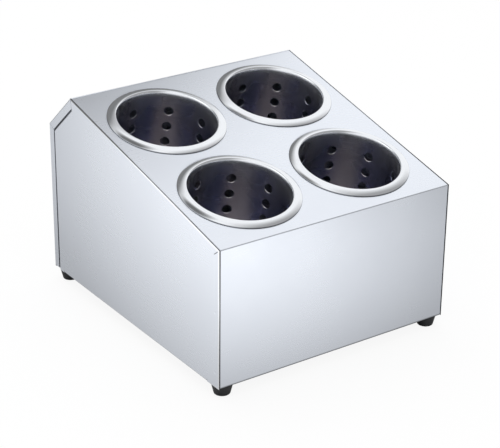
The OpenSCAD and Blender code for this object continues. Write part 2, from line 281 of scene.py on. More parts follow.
@dataclass(frozen=True)
class DrawnSteel:
    """A deep-drawn cup: a bright turned rim that passes into a darker polished wall, darkened further by
    painted shade.
    """

    name: str = "drawn_cup_steel"
    rim: Colour = (0.87, 0.895, 0.93)
    warm_wall: Colour = (0.80, 0.76, 0.765)
    cool_wall: Colour = (0.58, 0.59, 0.65)
    # Painted reflection: the dark bluish colour of two bands down the sides of the wall.
    blue_wall: Colour = (0.38, 0.41, 0.60)
    # Painted shadow: the dark colour under the rim's curl, just above the deck.
    painted_curl_shadow: Colour = (0.20, 0.21, 0.24)
    rim_rough: float = 0.12
    wall_rough: float = 0.28
    # Where the painted shade inside the cup begins and is full, in millimetres down from the deck.
    fade_from: float = -1.0
    fade_to: float = -24.0
    rim_radius: float = 50.2
    wall_radius: float = 48.5
    edge_radius: float = 58.4
    edge_height: float = 1.05
    blue_turn: float = -34.9

    def material(self) -> bpy.types.Material:
        """Builds the material, which reads each cup's own coordinates from its attribute.

        Returns:
            The material.
        """
        shade = Shader(self.name)
        own = shade.attribute("cup_place", "Vector")
        height = shade.node("ShaderNodeSeparateXYZ", {0: own}).outputs["Z"]
        flat = shade.vector("MULTIPLY", own, (1.0, 1.0, 0.0))
        radius = shade.vector("LENGTH", flat)
        streaks = shade.noise(30.0, 0.0, 0.5, shade.vector("MULTIPLY", own, (1.0, 1.0, 0.12)))
        wall = shade.mix(shade.spread(streaks, 0.0, 1.0, 0.42, 0.58), self.warm_wall, self.cool_wall)
        # Painted reflection: dark bluish bands down the sides of the wall.
        wall = shade.mix(self.blue(shade, flat, radius), wall, self.blue_wall)
        # Painted shade: the colour passes from the rim's to the wall's down the top of the cup, so the wall
        # darkens with depth; the rim and wall also differ in finish.
        fade = shade.spread(height, 0.0, 1.0, self.fade_from * MM, self.fade_to * MM)
        body = shade.mix(fade, self.rim, wall)
        # Painted shadow: the underside of the rim's curl is darkened.
        low = shade.spread(height, 1.0, 0.0, (self.edge_height - 0.6) * MM, self.edge_height * MM)
        brim = shade.spread(radius, 0.0, 1.0, (self.edge_radius - 0.2) * MM, self.edge_radius * MM)
        turned = shade.noise(2400.0, 2.0, 0.5,
                             shade.node("ShaderNodeCombineXYZ", {"X": radius, "Y": height}).outputs[0])
        clouds = shade.noise(35.0, 1.0, 0.5, own)
        worn = shade.spread(radius, self.wall_rough, self.rim_rough,
                            self.wall_radius * MM, self.rim_radius * MM)
        fine = shade.sum("ADD", shade.spread(clouds, -0.02, 0.05), shade.spread(turned, -0.012, 0.012))
        return shade.dress(
            Base_Color=shade.mix(shade.sum("MULTIPLY", low, brim), body, self.painted_curl_shadow),
            Roughness=shade.sum("ADD", worn, fine),
            Normal=shade.bump(turned, 0.0000011, 0.5), Metallic=1.0)

    def blue(self, shade: Shader, flat: Socket, radius: Socket) -> Socket:
        """The painted reflection: two dark bluish bands down the inside of the wall, on its sides to the
        camera's left and right.

        Args:
            shade: The material.
            flat: The place across the cup's axis.
            radius: The distance from the axis.

        Returns:
            The share of the painted reflection's colour.
        """
        turn = math.radians(self.blue_turn)
        across = (math.cos(turn), math.sin(turn), 0.0)
        lean = shade.vector("DOT_PRODUCT", shade.vector("NORMALIZE", flat), across)
        within = shade.spread(radius, 1.0, 0.0, (self.wall_radius + 0.1) * MM, (self.wall_radius + 0.4) * MM)
        return shade.sum("MULTIPLY", shade.spread(shade.sum("ABSOLUTE", lean), 0.0, 1.0, 0.66, 0.95), within)


@dataclass(frozen=True)
class MouldedRubber:
    """Black rubber from a mould, slightly greyed where it is handled."""

    name: str = "moulded_rubber"
    deep: Colour = (0.005, 0.006, 0.008)
    greyed: Colour = (0.014, 0.015, 0.018)
    relief: float = 0.00003

    def material(self) -> bpy.types.Material:
        """Builds the material.

        Returns:
            The material.
        """
        shade = Shader(self.name)
        clouds, pores = shade.noise(220.0, 4.0, 0.6), shade.noise(2600.0, 2.0, 0.6)
        return shade.dress(Base_Color=shade.mix(shade.spread(clouds, 0.0, 1.0), self.deep, self.greyed),
                           Roughness=shade.spread(clouds, 0.34, 0.5),
                           Normal=shade.bump(pores, self.relief, 0.35))


@dataclass(frozen=True)
class ZincPlate:
    """Bright zinc plating on small fasteners."""

    name: str = "zinc_plating"
    bright: Colour = (0.74, 0.75, 0.76)
    dull: Colour = (0.55, 0.56, 0.58)
    relief: float = 0.00001

    def material(self) -> bpy.types.Material:
        """Builds the material.

        Returns:
            The material.
        """
        shade = Shader(self.name)
        clouds = shade.noise(320.0, 4.0, 0.65)
        return shade.dress(Base_Color=shade.mix(shade.spread(clouds, 0.0, 1.0), self.bright, self.dull),
                           Roughness=shade.spread(clouds, 0.26, 0.48),
                           Normal=shade.bump(clouds, self.relief, 0.4), Metallic=1.0)


@dataclass
class Finishes:
    """The finishes of the object, each built once."""

    case: bpy.types.Material = field(default_factory=SatinSheet().material)
    cup: bpy.types.Material = field(default_factory=DrawnSteel().material)
    rubber: bpy.types.Material = field(default_factory=MouldedRubber().material)
    zinc: bpy.types.Material = field(default_factory=ZincPlate().material)


# ------------------------------------------------------------------------------------------- sheet metal


def make_object(name: str, points: Sequence[Vector], faces: Sequence[Sequence[int]],
                material: bpy.types.Material, corners: Sequence[Vector] | None = None) -> bpy.types.Object:
    """Makes a smooth mesh object from points in millimetres.

    Args:
        name: The piece's name.
        points: The vertices, in millimetres.
        faces: Vertex numbers of each face, anticlockwise from outside.
        material: The material.
        corners: Normal at each corner of each face in turn, or None for the mesh's own.

    Returns:
        The object, linked to the scene.
    """
    mesh = bpy.data.meshes.new(name)
    mesh.from_pydata([p * MM for p in points], [], faces)
    mesh.shade_smooth()
    if corners is not None:
        mesh.normals_split_custom_set([tuple(n) for n in corners])
    mesh.materials.append(material)
    made = bpy.data.objects.new(name, mesh)
    bpy.context.scene.collection.objects.link(made)
    return made


def evaluated(made: bpy.types.Object) -> bpy.types.Mesh:
    """A plain mesh of an object with its modifiers applied."""
    bpy.context.view_layer.update()
    return bpy.data.meshes.new_from_object(made.evaluated_get(bpy.context.evaluated_depsgraph_get()))


def merge_doubles(mesh: bpy.types.Mesh, reach: float = 0.002) -> None:
    """Joins the points of a mesh that fall together.

    Args:
        mesh: The mesh, in metres.
        reach: Greatest distance between joined points, in millimetres.
    """
    work = bmesh.new()
    work.from_mesh(mesh)
    bmesh.ops.remove_doubles(work, verts=work.verts, dist=reach * MM)
    work.to_mesh(mesh)
    work.free()


def inside(point: Vector, loop: Loop) -> bool:
    """Tests whether a point of the plane lies inside a closed loop.

    Args:
        point: The point.
        loop: The loop's corners.

    Returns:
        True if the point is inside.
    """
    odd = False
    for a, b in zip(loop, [*loop[1:], loop[0]]):
        if (a.y > point.y) != (b.y > point.y) and point.x < a.x + (b.x - a.x) * (point.y - a.y) / (b.y - a.y):
            odd = not odd
    return odd


def covered(loops: Sequence[Loop], lines: Iterable[tuple[int, int]] = ()) -> tuple[list[Vector], list[tuple]]:
    """Covers the area inside one loop and outside the others with triangles.

    Args:
        loops: The outline and then each hole.
        lines: Further lines that the triangles keep to, as numbers of the loops' points.

    Returns:
        The points, and the triangles, anticlockwise.
    """
    flat = [p for loop in loops for p in loop]
    edges, start = [], 0
    for loop in loops:
        edges += [(start + i, start + (i + 1) % len(loop)) for i in range(len(loop))]
        start += len(loop)
    points, _, found, *_ = delaunay_2d_cdt(flat, [*edges, *lines], [], 0, 1e-7)
    kept = []
    for numbers in found:
        a, b, c = (points[n] for n in numbers)
        middle = (a + b + c) / 3
        if inside(middle, loops[0]) and not any(inside(middle, hole) for hole in loops[1:]):
            kept.append(tuple(numbers) if (b - a).cross(c - a) > 0 else tuple(reversed(numbers)))
    return points, kept


def area_way(points: Sequence[Vector]) -> Vector:
    """The side from which a face's corners go round anticlockwise, as a vector of twice its area."""
    start = points[0]
    return sum(((a - start).cross(b - start) for a, b in zip(points[1:], points[2:])), Vector())


def polar(radius: float, degrees: float) -> Vector:
    """The point of the plane at a distance and an angle from the origin."""
    return Vector((radius * math.cos(math.radians(degrees)), radius * math.sin(math.radians(degrees))))


def ring(centre: Sequence[float], radius: float, steps: int, start: float = 0.0) -> list[Vector]:
    """Points round a circle of the plane, anticlockwise from an angle in degrees."""
    return [Vector(centre) + polar(radius, start + 360 * i / steps) for i in range(steps)]


@dataclass(frozen=True)
class RoundEdge:
    """A cut edge of a sheet whose outer corner is rounded, smoother and painted lighter as a highlight, with
    painted shade beside it.
    """

    wide: float = 1.6
    deep: float = 0.6
    dirt: float = 1.0


@dataclass(frozen=True)
class Grime:
    """Painted shade on a bend, where the sheet turns in under its neighbour: the turn where it starts, the
    most there is, and the turn it takes to get there.
    """

    start: float
    most: float
    span: float = 26.0

    def at(self, turn: float) -> float:
        """The painted shade where the sheet has turned by so much."""
        return self.most * min(1.0, max(0.0, (turn - self.start) / self.span))


@dataclass
class Row:
    """One line across a folded sheet: where it lies at each depth below the skin, and its normal."""

    at: Callable[[float], Vector]
    normal: Vector

    @staticmethod
    def straight(spot: Vector, normal: Vector) -> "Row":
        """A row on a flat leg of the sheet."""
        return Row(lambda depth: spot - normal * depth, normal)

    @staticmethod
    def bend(centre: Vector, radius: float, start: Vector, stop: Vector) -> list["Row"]:
        """The rows round a bend.

        Args:
            centre: The bend's centre.
            radius: Its outer radius.
            start: Normal where the bend begins.
            stop: Normal where it ends.

        Returns:
            The rows, with both ends.
        """
        rows = []
        for i in range(BEND_STEPS + 1):
            way = start.copy()
            way.rotate(Matrix.Rotation(-start.angle_signed(stop) * i / BEND_STEPS, 2))
            rows.append(Row(lambda depth, way=way: centre + way * (radius - depth), way))
        return rows


@dataclass
class Column:
    """One line along a folded sheet: its distance from the middle, its depth and its normal's turn."""

    x: float
    depth: float
    turn: float

    def point(self, row: Row) -> tuple[Vector, Vector]:
        """The point and the normal where this column crosses a row.

        Args:
            row: The row.

        Returns:
            The place and the normal.
        """
        spot, turn = row.at(self.depth), math.radians(self.turn)
        across = math.copysign(math.sin(turn), self.x)
        return (Vector((self.x, spot.x, spot.y)),
                Vector((across, row.normal.x * math.cos(turn), row.normal.y * math.cos(turn))))


@dataclass
class SideBend:
    """The bend along the side of a sheet, from its flat face to its flange."""

    x: float
    radius: float
    flange: float

    def face(self) -> list[Column]:
        """The two sides of the flat face between the bends."""
        return [Column(side.value * (self.x - self.radius), 0, 0) for side in Side]

    def arc(self, side: Side) -> list[Column]:
        """The columns round the bend, from left to right.

        Args:
            side: The side of the sheet.

        Returns:
            The columns.
        """
        made = []
        for i in range(BEND_STEPS + 1):
            turn = 90 * i / BEND_STEPS
            reach, sink = math.sin(math.radians(turn)), 1 - math.cos(math.radians(turn))
            x = self.x - self.radius + self.radius * reach
            made.append(Column(side.value * x, self.radius * sink, turn))
        return made[::side.value]

    def brim(self, side: Side) -> list[Column]:
        """The flange, from the bend to its free edge or back, from left to right."""
        bent = self.arc(side)[-1 if side is Side.RIGHT else 0]
        return [bent, Column(side.value * self.x, self.flange, 90.0)][::side.value]


class Skin:
    """The outer face of a sheet, with the exact normal at every point, which then gets its thickness."""

    def __init__(self) -> None:
        """Starts an empty skin."""
        self.points: list[Vector] = []
        self.normals: list[Vector] = []
        self.faces: list[tuple[int, ...]] = []
        self.rims: dict[int, RoundEdge] = {}
        # The painted shade at each point: in the seams, in the tick and on the bends under the case.
        self.seams: dict[int, float] = {}
        self.known: dict[tuple[int, ...], int] = {}

    def point(self, place: Sequence[float], normal: Sequence[float] = (0, 0, 1),
              rim: RoundEdge | None = None) -> int:
        """Adds a point, or finds the one that is already there.

        Args:
            place: The point.
            normal: The outward normal.
            rim: The sheet's edge at this point, if it isn't the usual one.

        Returns:
            The point's number.
        """
        key = tuple(round(v * GRID) for v in place)
        if key not in self.known:
            self.known[key] = len(self.points)
            self.points.append(Vector(place))
            self.normals.append(Vector(normal).normalized())
        number = self.known[key]
        if rim is not None:
            self.rims[number] = rim
        return number

    def face(self, *numbers: int) -> None:
        """Adds a face, without the points that fall together.

        Args:
            numbers: The points' numbers, anticlockwise from outside.
        """
        kept = [n for i, n in enumerate(numbers) if n != numbers[i - 1]]
        if len(set(kept)) > 2:
            self.faces.append(tuple(kept))

    def strips(self, rows: Sequence[Sequence[int]]) -> None:
        """Joins open rows of points, each to the next, by faces.

        Args:
            rows: The numbers of each row's points.
        """
        for one, two in zip(rows, rows[1:]):
            for i in range(len(one) - 1):
                self.face(one[i], one[i + 1], two[i + 1], two[i])

    def tube(self, rings: Sequence[Sequence[int]]) -> None:
        """Joins closed rings of points, each to the next, by faces.

        Args:
            rings: The numbers of each ring's points.
        """
        for one, two in zip(rings, rings[1:]):
            for i in range(len(one)):
                self.face(one[i - 1], one[i], two[i], two[i - 1])

    def turned(self, section: Sequence[tuple[float, float]], steps: int) -> None:
        """Turns a section about the Z axis.

        Args:
            section: Radius and height of each corner.
            steps: Faces round the axis.
        """
        turns = [math.radians(360 * i / steps) for i in range(steps)]
        self.tube([[self.point((r * math.cos(a), r * math.sin(a), z)) for a in turns] for r, z in section])

    def flat(self, loops: Sequence[Loop], place: Callable[[Vector], Vector], normal: Vector,
             rim: Callable[[Vector], RoundEdge | None] = lambda p: None) -> None:
        """Fills a flat outline that may have holes.

        Args:
            loops: The outline and then each hole.
            place: Takes a point of the plane to its place.
            normal: The outward normal.
            rim: Gives the sheet's edge at a point of the plane, or None.
        """
        corners, triangles = covered(loops)
        numbers = [self.point(place(c), normal, rim(c)) for c in corners]
        for triangle in triangles:
            self.face(*(numbers[i] for i in triangle))

    def cross(self, columns: Sequence[Column], rows: Sequence[Row],
              grime: Grime | None = None) -> list[list[int]]:
        """Covers the crossing of some rows and columns with faces.

        Args:
            columns: The columns, from left to right.
            rows: The rows, in the order of the sheet's path.
            grime: The painted shade where the sheet turns in under its neighbour, or None.

        Returns:
            The numbers of the points, row by row.
        """
        grid = [[self.point(*column.point(row)) for column in columns] for row in rows]
        self.strips(grid)
        if grime:
            for line in grid:
                for column, number in zip(columns, line):
                    self.soil(number, grime.at(column.turn))
        return grid

    def soil(self, number: int, dirt: float) -> None:
        """Puts painted shade on a point that hasn't got more already."""
        self.seams[number] = max(self.seams.get(number, 0.0), dirt)

    def soil_rows(self, grid: Sequence[Sequence[int]], most: float, reach: float) -> None:
        """Puts painted shade on a bend that turns under the case.

        Args:
            grid: The bend's points, from the underside up.
            most: Most painted shade.
            reach: Number of the row where the painted shade ends.
        """
        for i, line in enumerate(grid):
            for number in line:
                self.soil(number, most * min(1.0, max(0.0, reach - i) / 3))

    def face_outwards(self) -> None:
        """Turns every face to the side that its points' normals show."""
        for i, numbers in enumerate(self.faces):
            way = sum((self.normals[n] for n in numbers), Vector())
            if area_way([self.points[n] for n in numbers]).dot(way) < 0:
                self.faces[i] = tuple(reversed(numbers))

    def boundary(self) -> dict[int, int]:
        """The open edges, as the next point after each point on them."""
        sides = {(f[i - 1], f[i]) for f in self.faces for i in range(len(f))}
        return {a: b for a, b in sides if (b, a) not in sides}

    def across_edge(self, number: int, before: int, after: int, thickness: float) -> list[tuple]:
        """The points across a cut edge of the sheet, from the skin round to the far face.

        Args:
            number: The skin's point on the edge.
            before: The point before it on the edge.
            after: The point after it.
            thickness: Thickness of the sheet.

        Returns:
            Place, normal and painted shade of each point; -1 marks the rounding that gets the painted
            highlight.
        """
        place, normal = self.points[number], self.normals[number]
        ways = []
        for a, b in ((before, number), (number, after)):
            away = (self.points[b] - self.points[a]).cross(normal)
            ways.append(away.normalized() if away.length > 1e-9 else Vector())
        out = (ways[0] + ways[1]) / max(0.3, 1 + ways[0].dot(ways[1]))
        level = out.normalized()
        edge, own = self.rims.get(number), self.seams.get(number, 0.0)
        wide, deep, dirt = (edge.wide, edge.deep, edge.dirt) if edge else (DEBURR, DEBURR, own)
        count = BEND_STEPS if edge else 1
        line = []
        for k in range(count + 1):
            a = math.radians(90 * k / count)
            spot = place - out * (wide * (1 - math.sin(a))) - normal * (deep * (1 - math.cos(a)))
            way = level * (math.sin(a) / wide) + normal * (math.cos(a) / deep)
            # -1 marks the rounding for its painted highlight; a usual edge keeps the point's painted shade.
            line.append((spot, way.normalized(), -1.0 if edge and k else own))
        # The rows past the rounding, down the cut face and round to the far face, take the edge's painted
        # shade.
        if edge:
            line.append((place - normal * (deep + 0.03), level, dirt))
        line.append((place - normal * (thickness - DEBURR), level, dirt))
        line.append((place - out * DEBURR - normal * thickness, -normal, dirt))
        return line

    @staticmethod
    def edge_faces(one: Sequence[int], two: Sequence[int]) -> list[tuple[int, ...]]:
        """The faces between two lines across a cut edge; the shorter line repeats its first point.

        Args:
            one: The points of the first line.
            two: The points of the second line.

        Returns:
            The faces.
        """
        most = max(len(one), len(two))
        one, two = ([line[0]] * (most - len(line)) + list(line) for line in (one, two))
        quads = [(two[k], one[k], one[k + 1], two[k + 1]) for k in range(most - 1)]
        return [tuple(n for j, n in enumerate(quad) if n != quad[j - 1]) for quad in quads]

    def solid(self, thickness: float) -> tuple[Sequence, Sequence, Sequence, Sequence]:
        """Gives the skin its thickness and rounds every cut edge.

        Args:
            thickness: Thickness of the sheet, measured inwards from the skin.

        Returns:
            Points, faces, the normal at each corner of each face, and the painted shade at each point, with
            -1 where a rounded edge gets its painted highlight.
        """
        self.face_outwards()
        after = self.boundary()
        before = {b: a for a, b in after.items()}
        made, lines = [], []
        for i, (place, normal) in enumerate(zip(self.points, self.normals)):
            if i in after and i in before:
                line = self.across_edge(i, before[i], after[i], thickness)
            else:
                # The far face is painted fully shaded wherever the skin has painted shade.
                line = [(place, normal, self.seams.get(i, 0.0)),
                        (place - normal * thickness, -normal, 1.0 if i in self.seams else 0.0)]
            lines.append(range(len(made), len(made) + len(line)))
            made += line
        points, facing, grime = zip(*made)
        faces = [tuple(lines[n][0] for n in f) for f in self.faces]
        faces += [tuple(lines[n][-1] for n in reversed(f)) for f in self.faces]
        for a, b in after.items():
            if a in before and b in after:
                faces += self.edge_faces(lines[a], lines[b])
        return points, faces, [facing[n] for f in faces for n in f], grime


@dataclass
class CaseShape:
    """The case's sizes and its outline seen from the side."""

    deck_slope: float = 12.75
    rim_gap_x: float = 10.0
    rim_gap_y: float = 11.5
    side_margin: float = 10.0
    front_margin: float = 11.5
    rear_margin: float = 11.5
    hole_r: float = 50.5
    hole_steps: int = 96
    rim_d: float = 117.5
    sheet_t: float = 1.0
    bend_r: float = 1.5
    chamfer_d: float = 45.0
    chamfer_h: float = 40.5
    return_w: float = 9.0
    seam_gap: float = 1.0
    seam_r: float = 1.05
    seam_slit: float = 0.08
    fold_r: float = 1.05
    flange_w: float = 9.5
    mitre_run: float = 0.75
    knee_slit: float = 0.15
    rear_flange_l: float = 12.0
    tongue_w: float = 12.5
    joint_gap: float = 0.2
    lip_w: float = 20.0
    tray_gap: float = 0.5
    base_z: float = 11.0
    front_h: float = 141.011
    foot_x: float = 121.5
    foot_front_y: float = -142.927
    foot_rear_y: float = 140.927
    bolt_hole_r: float = 2.75
    bolt_hole_steps: int = 24

    def __post_init__(self) -> None:
        """Works out the sizes that follow from the others."""
        slope = math.radians(self.deck_slope)
        self.sin, self.cos = math.sin(slope), math.cos(slope)
        self.cup_x = (self.rim_d + self.rim_gap_x) / 2
        self.cup_s = {End.FRONT: self.front_margin + self.rim_d / 2}
        self.cup_s[End.REAR] = self.cup_s[End.FRONT] + self.rim_d + self.rim_gap_y
        deck_l = self.cup_s[End.REAR] + self.rim_d / 2 + self.rear_margin
        self.half_w = self.cup_x + self.rim_d / 2 + self.side_margin
        self.rear_y = (deck_l * self.cos + self.chamfer_d) / 2
        self.front_y = -self.rear_y
        self.front_top_z = self.base_z + self.front_h
        self.rear_top_z = self.front_top_z + deck_l * self.sin
        self.inner_x = self.half_w - self.sheet_t
        self.sheet_lift = 2 * self.sheet_t + self.tray_gap
        self.corners = [
            Vector((self.front_y, self.base_z)),
            Vector((self.rear_y, self.base_z)),
            Vector((self.rear_y, self.rear_top_z - self.chamfer_h)),
            Vector((self.rear_y - self.chamfer_d, self.rear_top_z)),
            Vector((self.front_y, self.front_top_z)),
        ]
        self.down, self.back, self.slant, self.deck, self.face = (self.outward(i) for i in Corner)

    def outward(self, edge: int) -> Vector:
        """The outward normal of the outline's edge that starts at a corner."""
        along = (self.corners[(edge + 1) % 5] - self.corners[edge % 5]).normalized()
        return Vector((along.y, -along.x))

    def inset(self, corner: int, before: float, after: float) -> Vector:
        """The point near a corner that lies inside both of its edges.

        Args:
            corner: The corner.
            before: Distance inside the edge before the corner.
            after: Distance inside the edge after it.

        Returns:
            The point, as y and z.
        """
        a, b = -self.outward(corner - 1), -self.outward(corner)
        det = a.x * b.y - a.y * b.x
        return self.corners[corner] + Vector((before * b.y - after * a.y, after * a.x - before * b.x)) / det

    def mitre(self, depth: float) -> float:
        """How far the flanges beside the front fold keep from it at a depth below the skin."""
        return max(depth, self.fold_r) + self.mitre_run

    def deck_matrix(self, x: float, s: float) -> Matrix:
        """The place of a point on the deck, with its normal as the local Z.

        Args:
            x: Distance from the middle.
            s: Distance up the slope from the front edge.

        Returns:
            The matrix, in millimetres.
        """
        spot = Vector((x, self.front_y + s * self.cos, self.front_top_z + s * self.sin))
        return Matrix.Translation(spot) @ Matrix.Rotation(math.radians(self.deck_slope), 4, "X")


@dataclass
class SidePanel:
    """A side panel: a flat face with its weld marks, a stepped-in tongue at the rear, and a lip below."""

    shape: CaseShape
    side: Side
    skin: Skin = field(default_factory=Skin)
    notch_h: float = 2.2
    relief_w: float = 0.6
    tongue_gap: float = 0.35
    front_edge: RoundEdge = RoundEdge(deep=0.45)
    tick_span: tuple[float, float] = (1.9, 8.6)
    tick_half_w: float = 0.36
    tick_deep: float = 0.4
    tick_taper: float = 0.85
    weld_y: float = 6.5
    weld_heights: tuple[float, ...] = (15.5, 77.0)
    weld_r: float = 1.7
    weld_deep: float = 0.22
    weld_steps: int = 16

    def __post_init__(self) -> None:
        """Works out what follows from the sizes."""
        self.out = Vector((self.side.value, 0, 0))
        self.deck_edge = RoundEdge(dirt=SEAM_PAINTED_SHADE[self.side])
        self.seam = self.shape.return_w + self.shape.seam_gap
        self.tongue_from = self.seam + 1.4

    def place(self, p: Vector, depth: float = 0.0) -> Vector:
        """Takes a point of the side's plane, at a depth below the skin, to its place."""
        return Vector((self.side.value * (self.shape.half_w - depth), p.x, p.y))

    def rim(self, p: Vector) -> RoundEdge | None:
        """The kind of the panel's cut edge at a point, if it isn't the usual one.

        Args:
            p: The point of the side's plane.

        Returns:
            The edge, or None.
        """
        c = self.shape
        if abs(p.x - c.front_y) < 0.01:
            return self.front_edge
        return self.deck_edge if abs((p - c.corners[Corner.FRONT_TOP]).dot(c.deck)) < 0.01 else None

    def build(self) -> Skin:
        """Builds the panel's skin.

        Returns:
            The skin.
        """
        c = self.shape
        welds = [Vector((c.front_y + self.weld_y, c.base_z + height)) for height in self.weld_heights]
        loops = [self.outline(), self.tick(), *[ring(spot, self.weld_r, self.weld_steps) for spot in welds]]
        self.skin.flat(loops, self.place, self.out, self.rim)
        self.tick_trough()
        for spot in welds:
            self.weld_dimple(spot)
        self.tongue()
        self.lip()
        return self.skin

    def outline(self) -> list[Vector]:
        """The outline of the flat face, with the reliefs beside the lip.

        Returns:
            The corners in the side's plane.
        """
        c, inset = self.shape, self.tongue_from
        front, rear = c.front_y + c.lip_w + c.joint_gap, c.rear_y - c.lip_w - c.joint_gap
        low, notch, bend = c.base_z, c.base_z + self.notch_h, c.base_z + c.bend_r
        bottom = [(c.front_y, low), (front - self.relief_w, low), (front - self.relief_w, notch),
                  (front, notch), (front, bend), (rear, bend), (rear, notch), (rear + self.relief_w, notch),
                  (rear + self.relief_w, low), (c.rear_y - inset, low)]
        seam = [c.inset(Corner.REAR_BOTTOM, c.sheet_lift, inset), c.inset(Corner.CHAMFER_LOW, inset, inset),
                c.inset(Corner.REAR_TOP, inset, inset)]
        return [*map(Vector, bottom), *seam, c.corners[Corner.REAR_TOP], c.corners[Corner.FRONT_TOP]]

    def tongue(self) -> None:
        """Adds the tongue that steps in under the rear cover's return, with painted shade in the seam."""
        c, seam = self.shape, self.seam
        ways = (c.back, (c.back + c.slant).normalized(), c.slant)
        steps = ((self.tongue_from, 0.0, 0), (seam + 1.05, 0.12, 35), (seam + 0.35, 0.88, 35),
                 (seam, 1.0, 0), (2 * c.sheet_t, 1.0, 0))
        rows = []
        for inset, sink, lean in steps:
            gap = self.tongue_gap if sink else 0.0
            spots = (c.inset(Corner.REAR_BOTTOM, c.sheet_lift, inset),
                     c.inset(Corner.CHAMFER_LOW, inset, inset),
                     c.inset(Corner.REAR_TOP, inset, inset + gap))
            a = math.radians(lean)
            rows.append([self.skin.point(self.place(p, sink), self.out * math.cos(a)
                                         + Vector((0, w.x, w.y)) * math.sin(a)) for p, w in zip(spots, ways)])
            # The sunk rows in the seam are painted shaded.
            if sink:
                for number in rows[-1]:
                    self.skin.soil(number, min(1.0, 1.1 * sink))
        self.skin.strips(rows)

    def lip(self) -> None:
        """Adds the lip along the bottom, with its bend and the painted shade on the bend."""
        c, sign, r = self.shape, self.side.value, self.shape.bend_r
        line = []
        for i in range(BEND_STEPS + 1):
            a = math.radians(90 * i / BEND_STEPS)
            line.append((sign * (c.half_w - r + r * math.cos(a)), c.base_z + r - r * math.sin(a),
                         Vector((sign * math.cos(a), 0, -math.sin(a)))))
        line.append((sign * (c.half_w - c.lip_w), c.base_z, DOWN))
        ends = (c.front_y + c.lip_w + c.joint_gap, c.rear_y - c.lip_w - c.joint_gap)
        grid = [[self.skin.point((x, y, z), normal) for y in ends] for x, z, normal in line]
        self.skin.strips(grid)
        # Painted shade on the lower bend, where it turns under the case.
        self.skin.soil_rows(grid[BEND_STEPS::-1], 0.8, 5.0)

    def tick(self) -> list[Vector]:
        """The outline of the fine mark over the flanges' mitre, near the front's upper corner.

        Returns:
            The corners in the side's plane.
        """
        start, stop = (self.shape.inset(Corner.FRONT_TOP, reach, reach) for reach in self.tick_span)
        along = (stop - start).normalized()
        across = Vector((along.y, -along.x)) * self.tick_half_w
        return [start, start + along + across, stop - along + across, stop, stop - along - across,
                start + along - across]

    def tick_trough(self) -> None:
        """Closes the mark over the mitre with a shallow trough, painted dark as shade."""
        loop = self.tick()
        middle = (loop[0] + loop[3]) / 2
        sunk = [self.skin.point(self.place(middle + (p - middle) * self.tick_taper, self.tick_deep), self.out)
                for p in loop]
        # The trough's floor is painted fully shaded.
        for number in sunk:
            self.skin.soil(number, 1.0)
        self.skin.tube([[self.skin.point(self.place(p), self.out) for p in loop], sunk])
        self.skin.face(*sunk)

    def weld_dimple(self, spot: Vector) -> None:
        """Closes a round hole of the flat face with the dimple of a spot weld.

        Args:
            spot: The weld's middle in the side's plane.
        """
        rings = []
        for share, sink, lean in ((1.0, 0.0, 0.0), (0.75, 0.45, 14.0), (0.4, 0.9, 8.0)):
            line = []
            for p in ring(spot, self.weld_r * share, self.weld_steps):
                way = (spot - p).normalized() * math.sin(math.radians(lean))
                place = self.place(p, self.weld_deep * sink)
                line.append(self.skin.point(place, self.out + Vector((0, *way))))
            rings.append(line)
        self.skin.tube(rings)
        self.skin.face(*rings[-1])


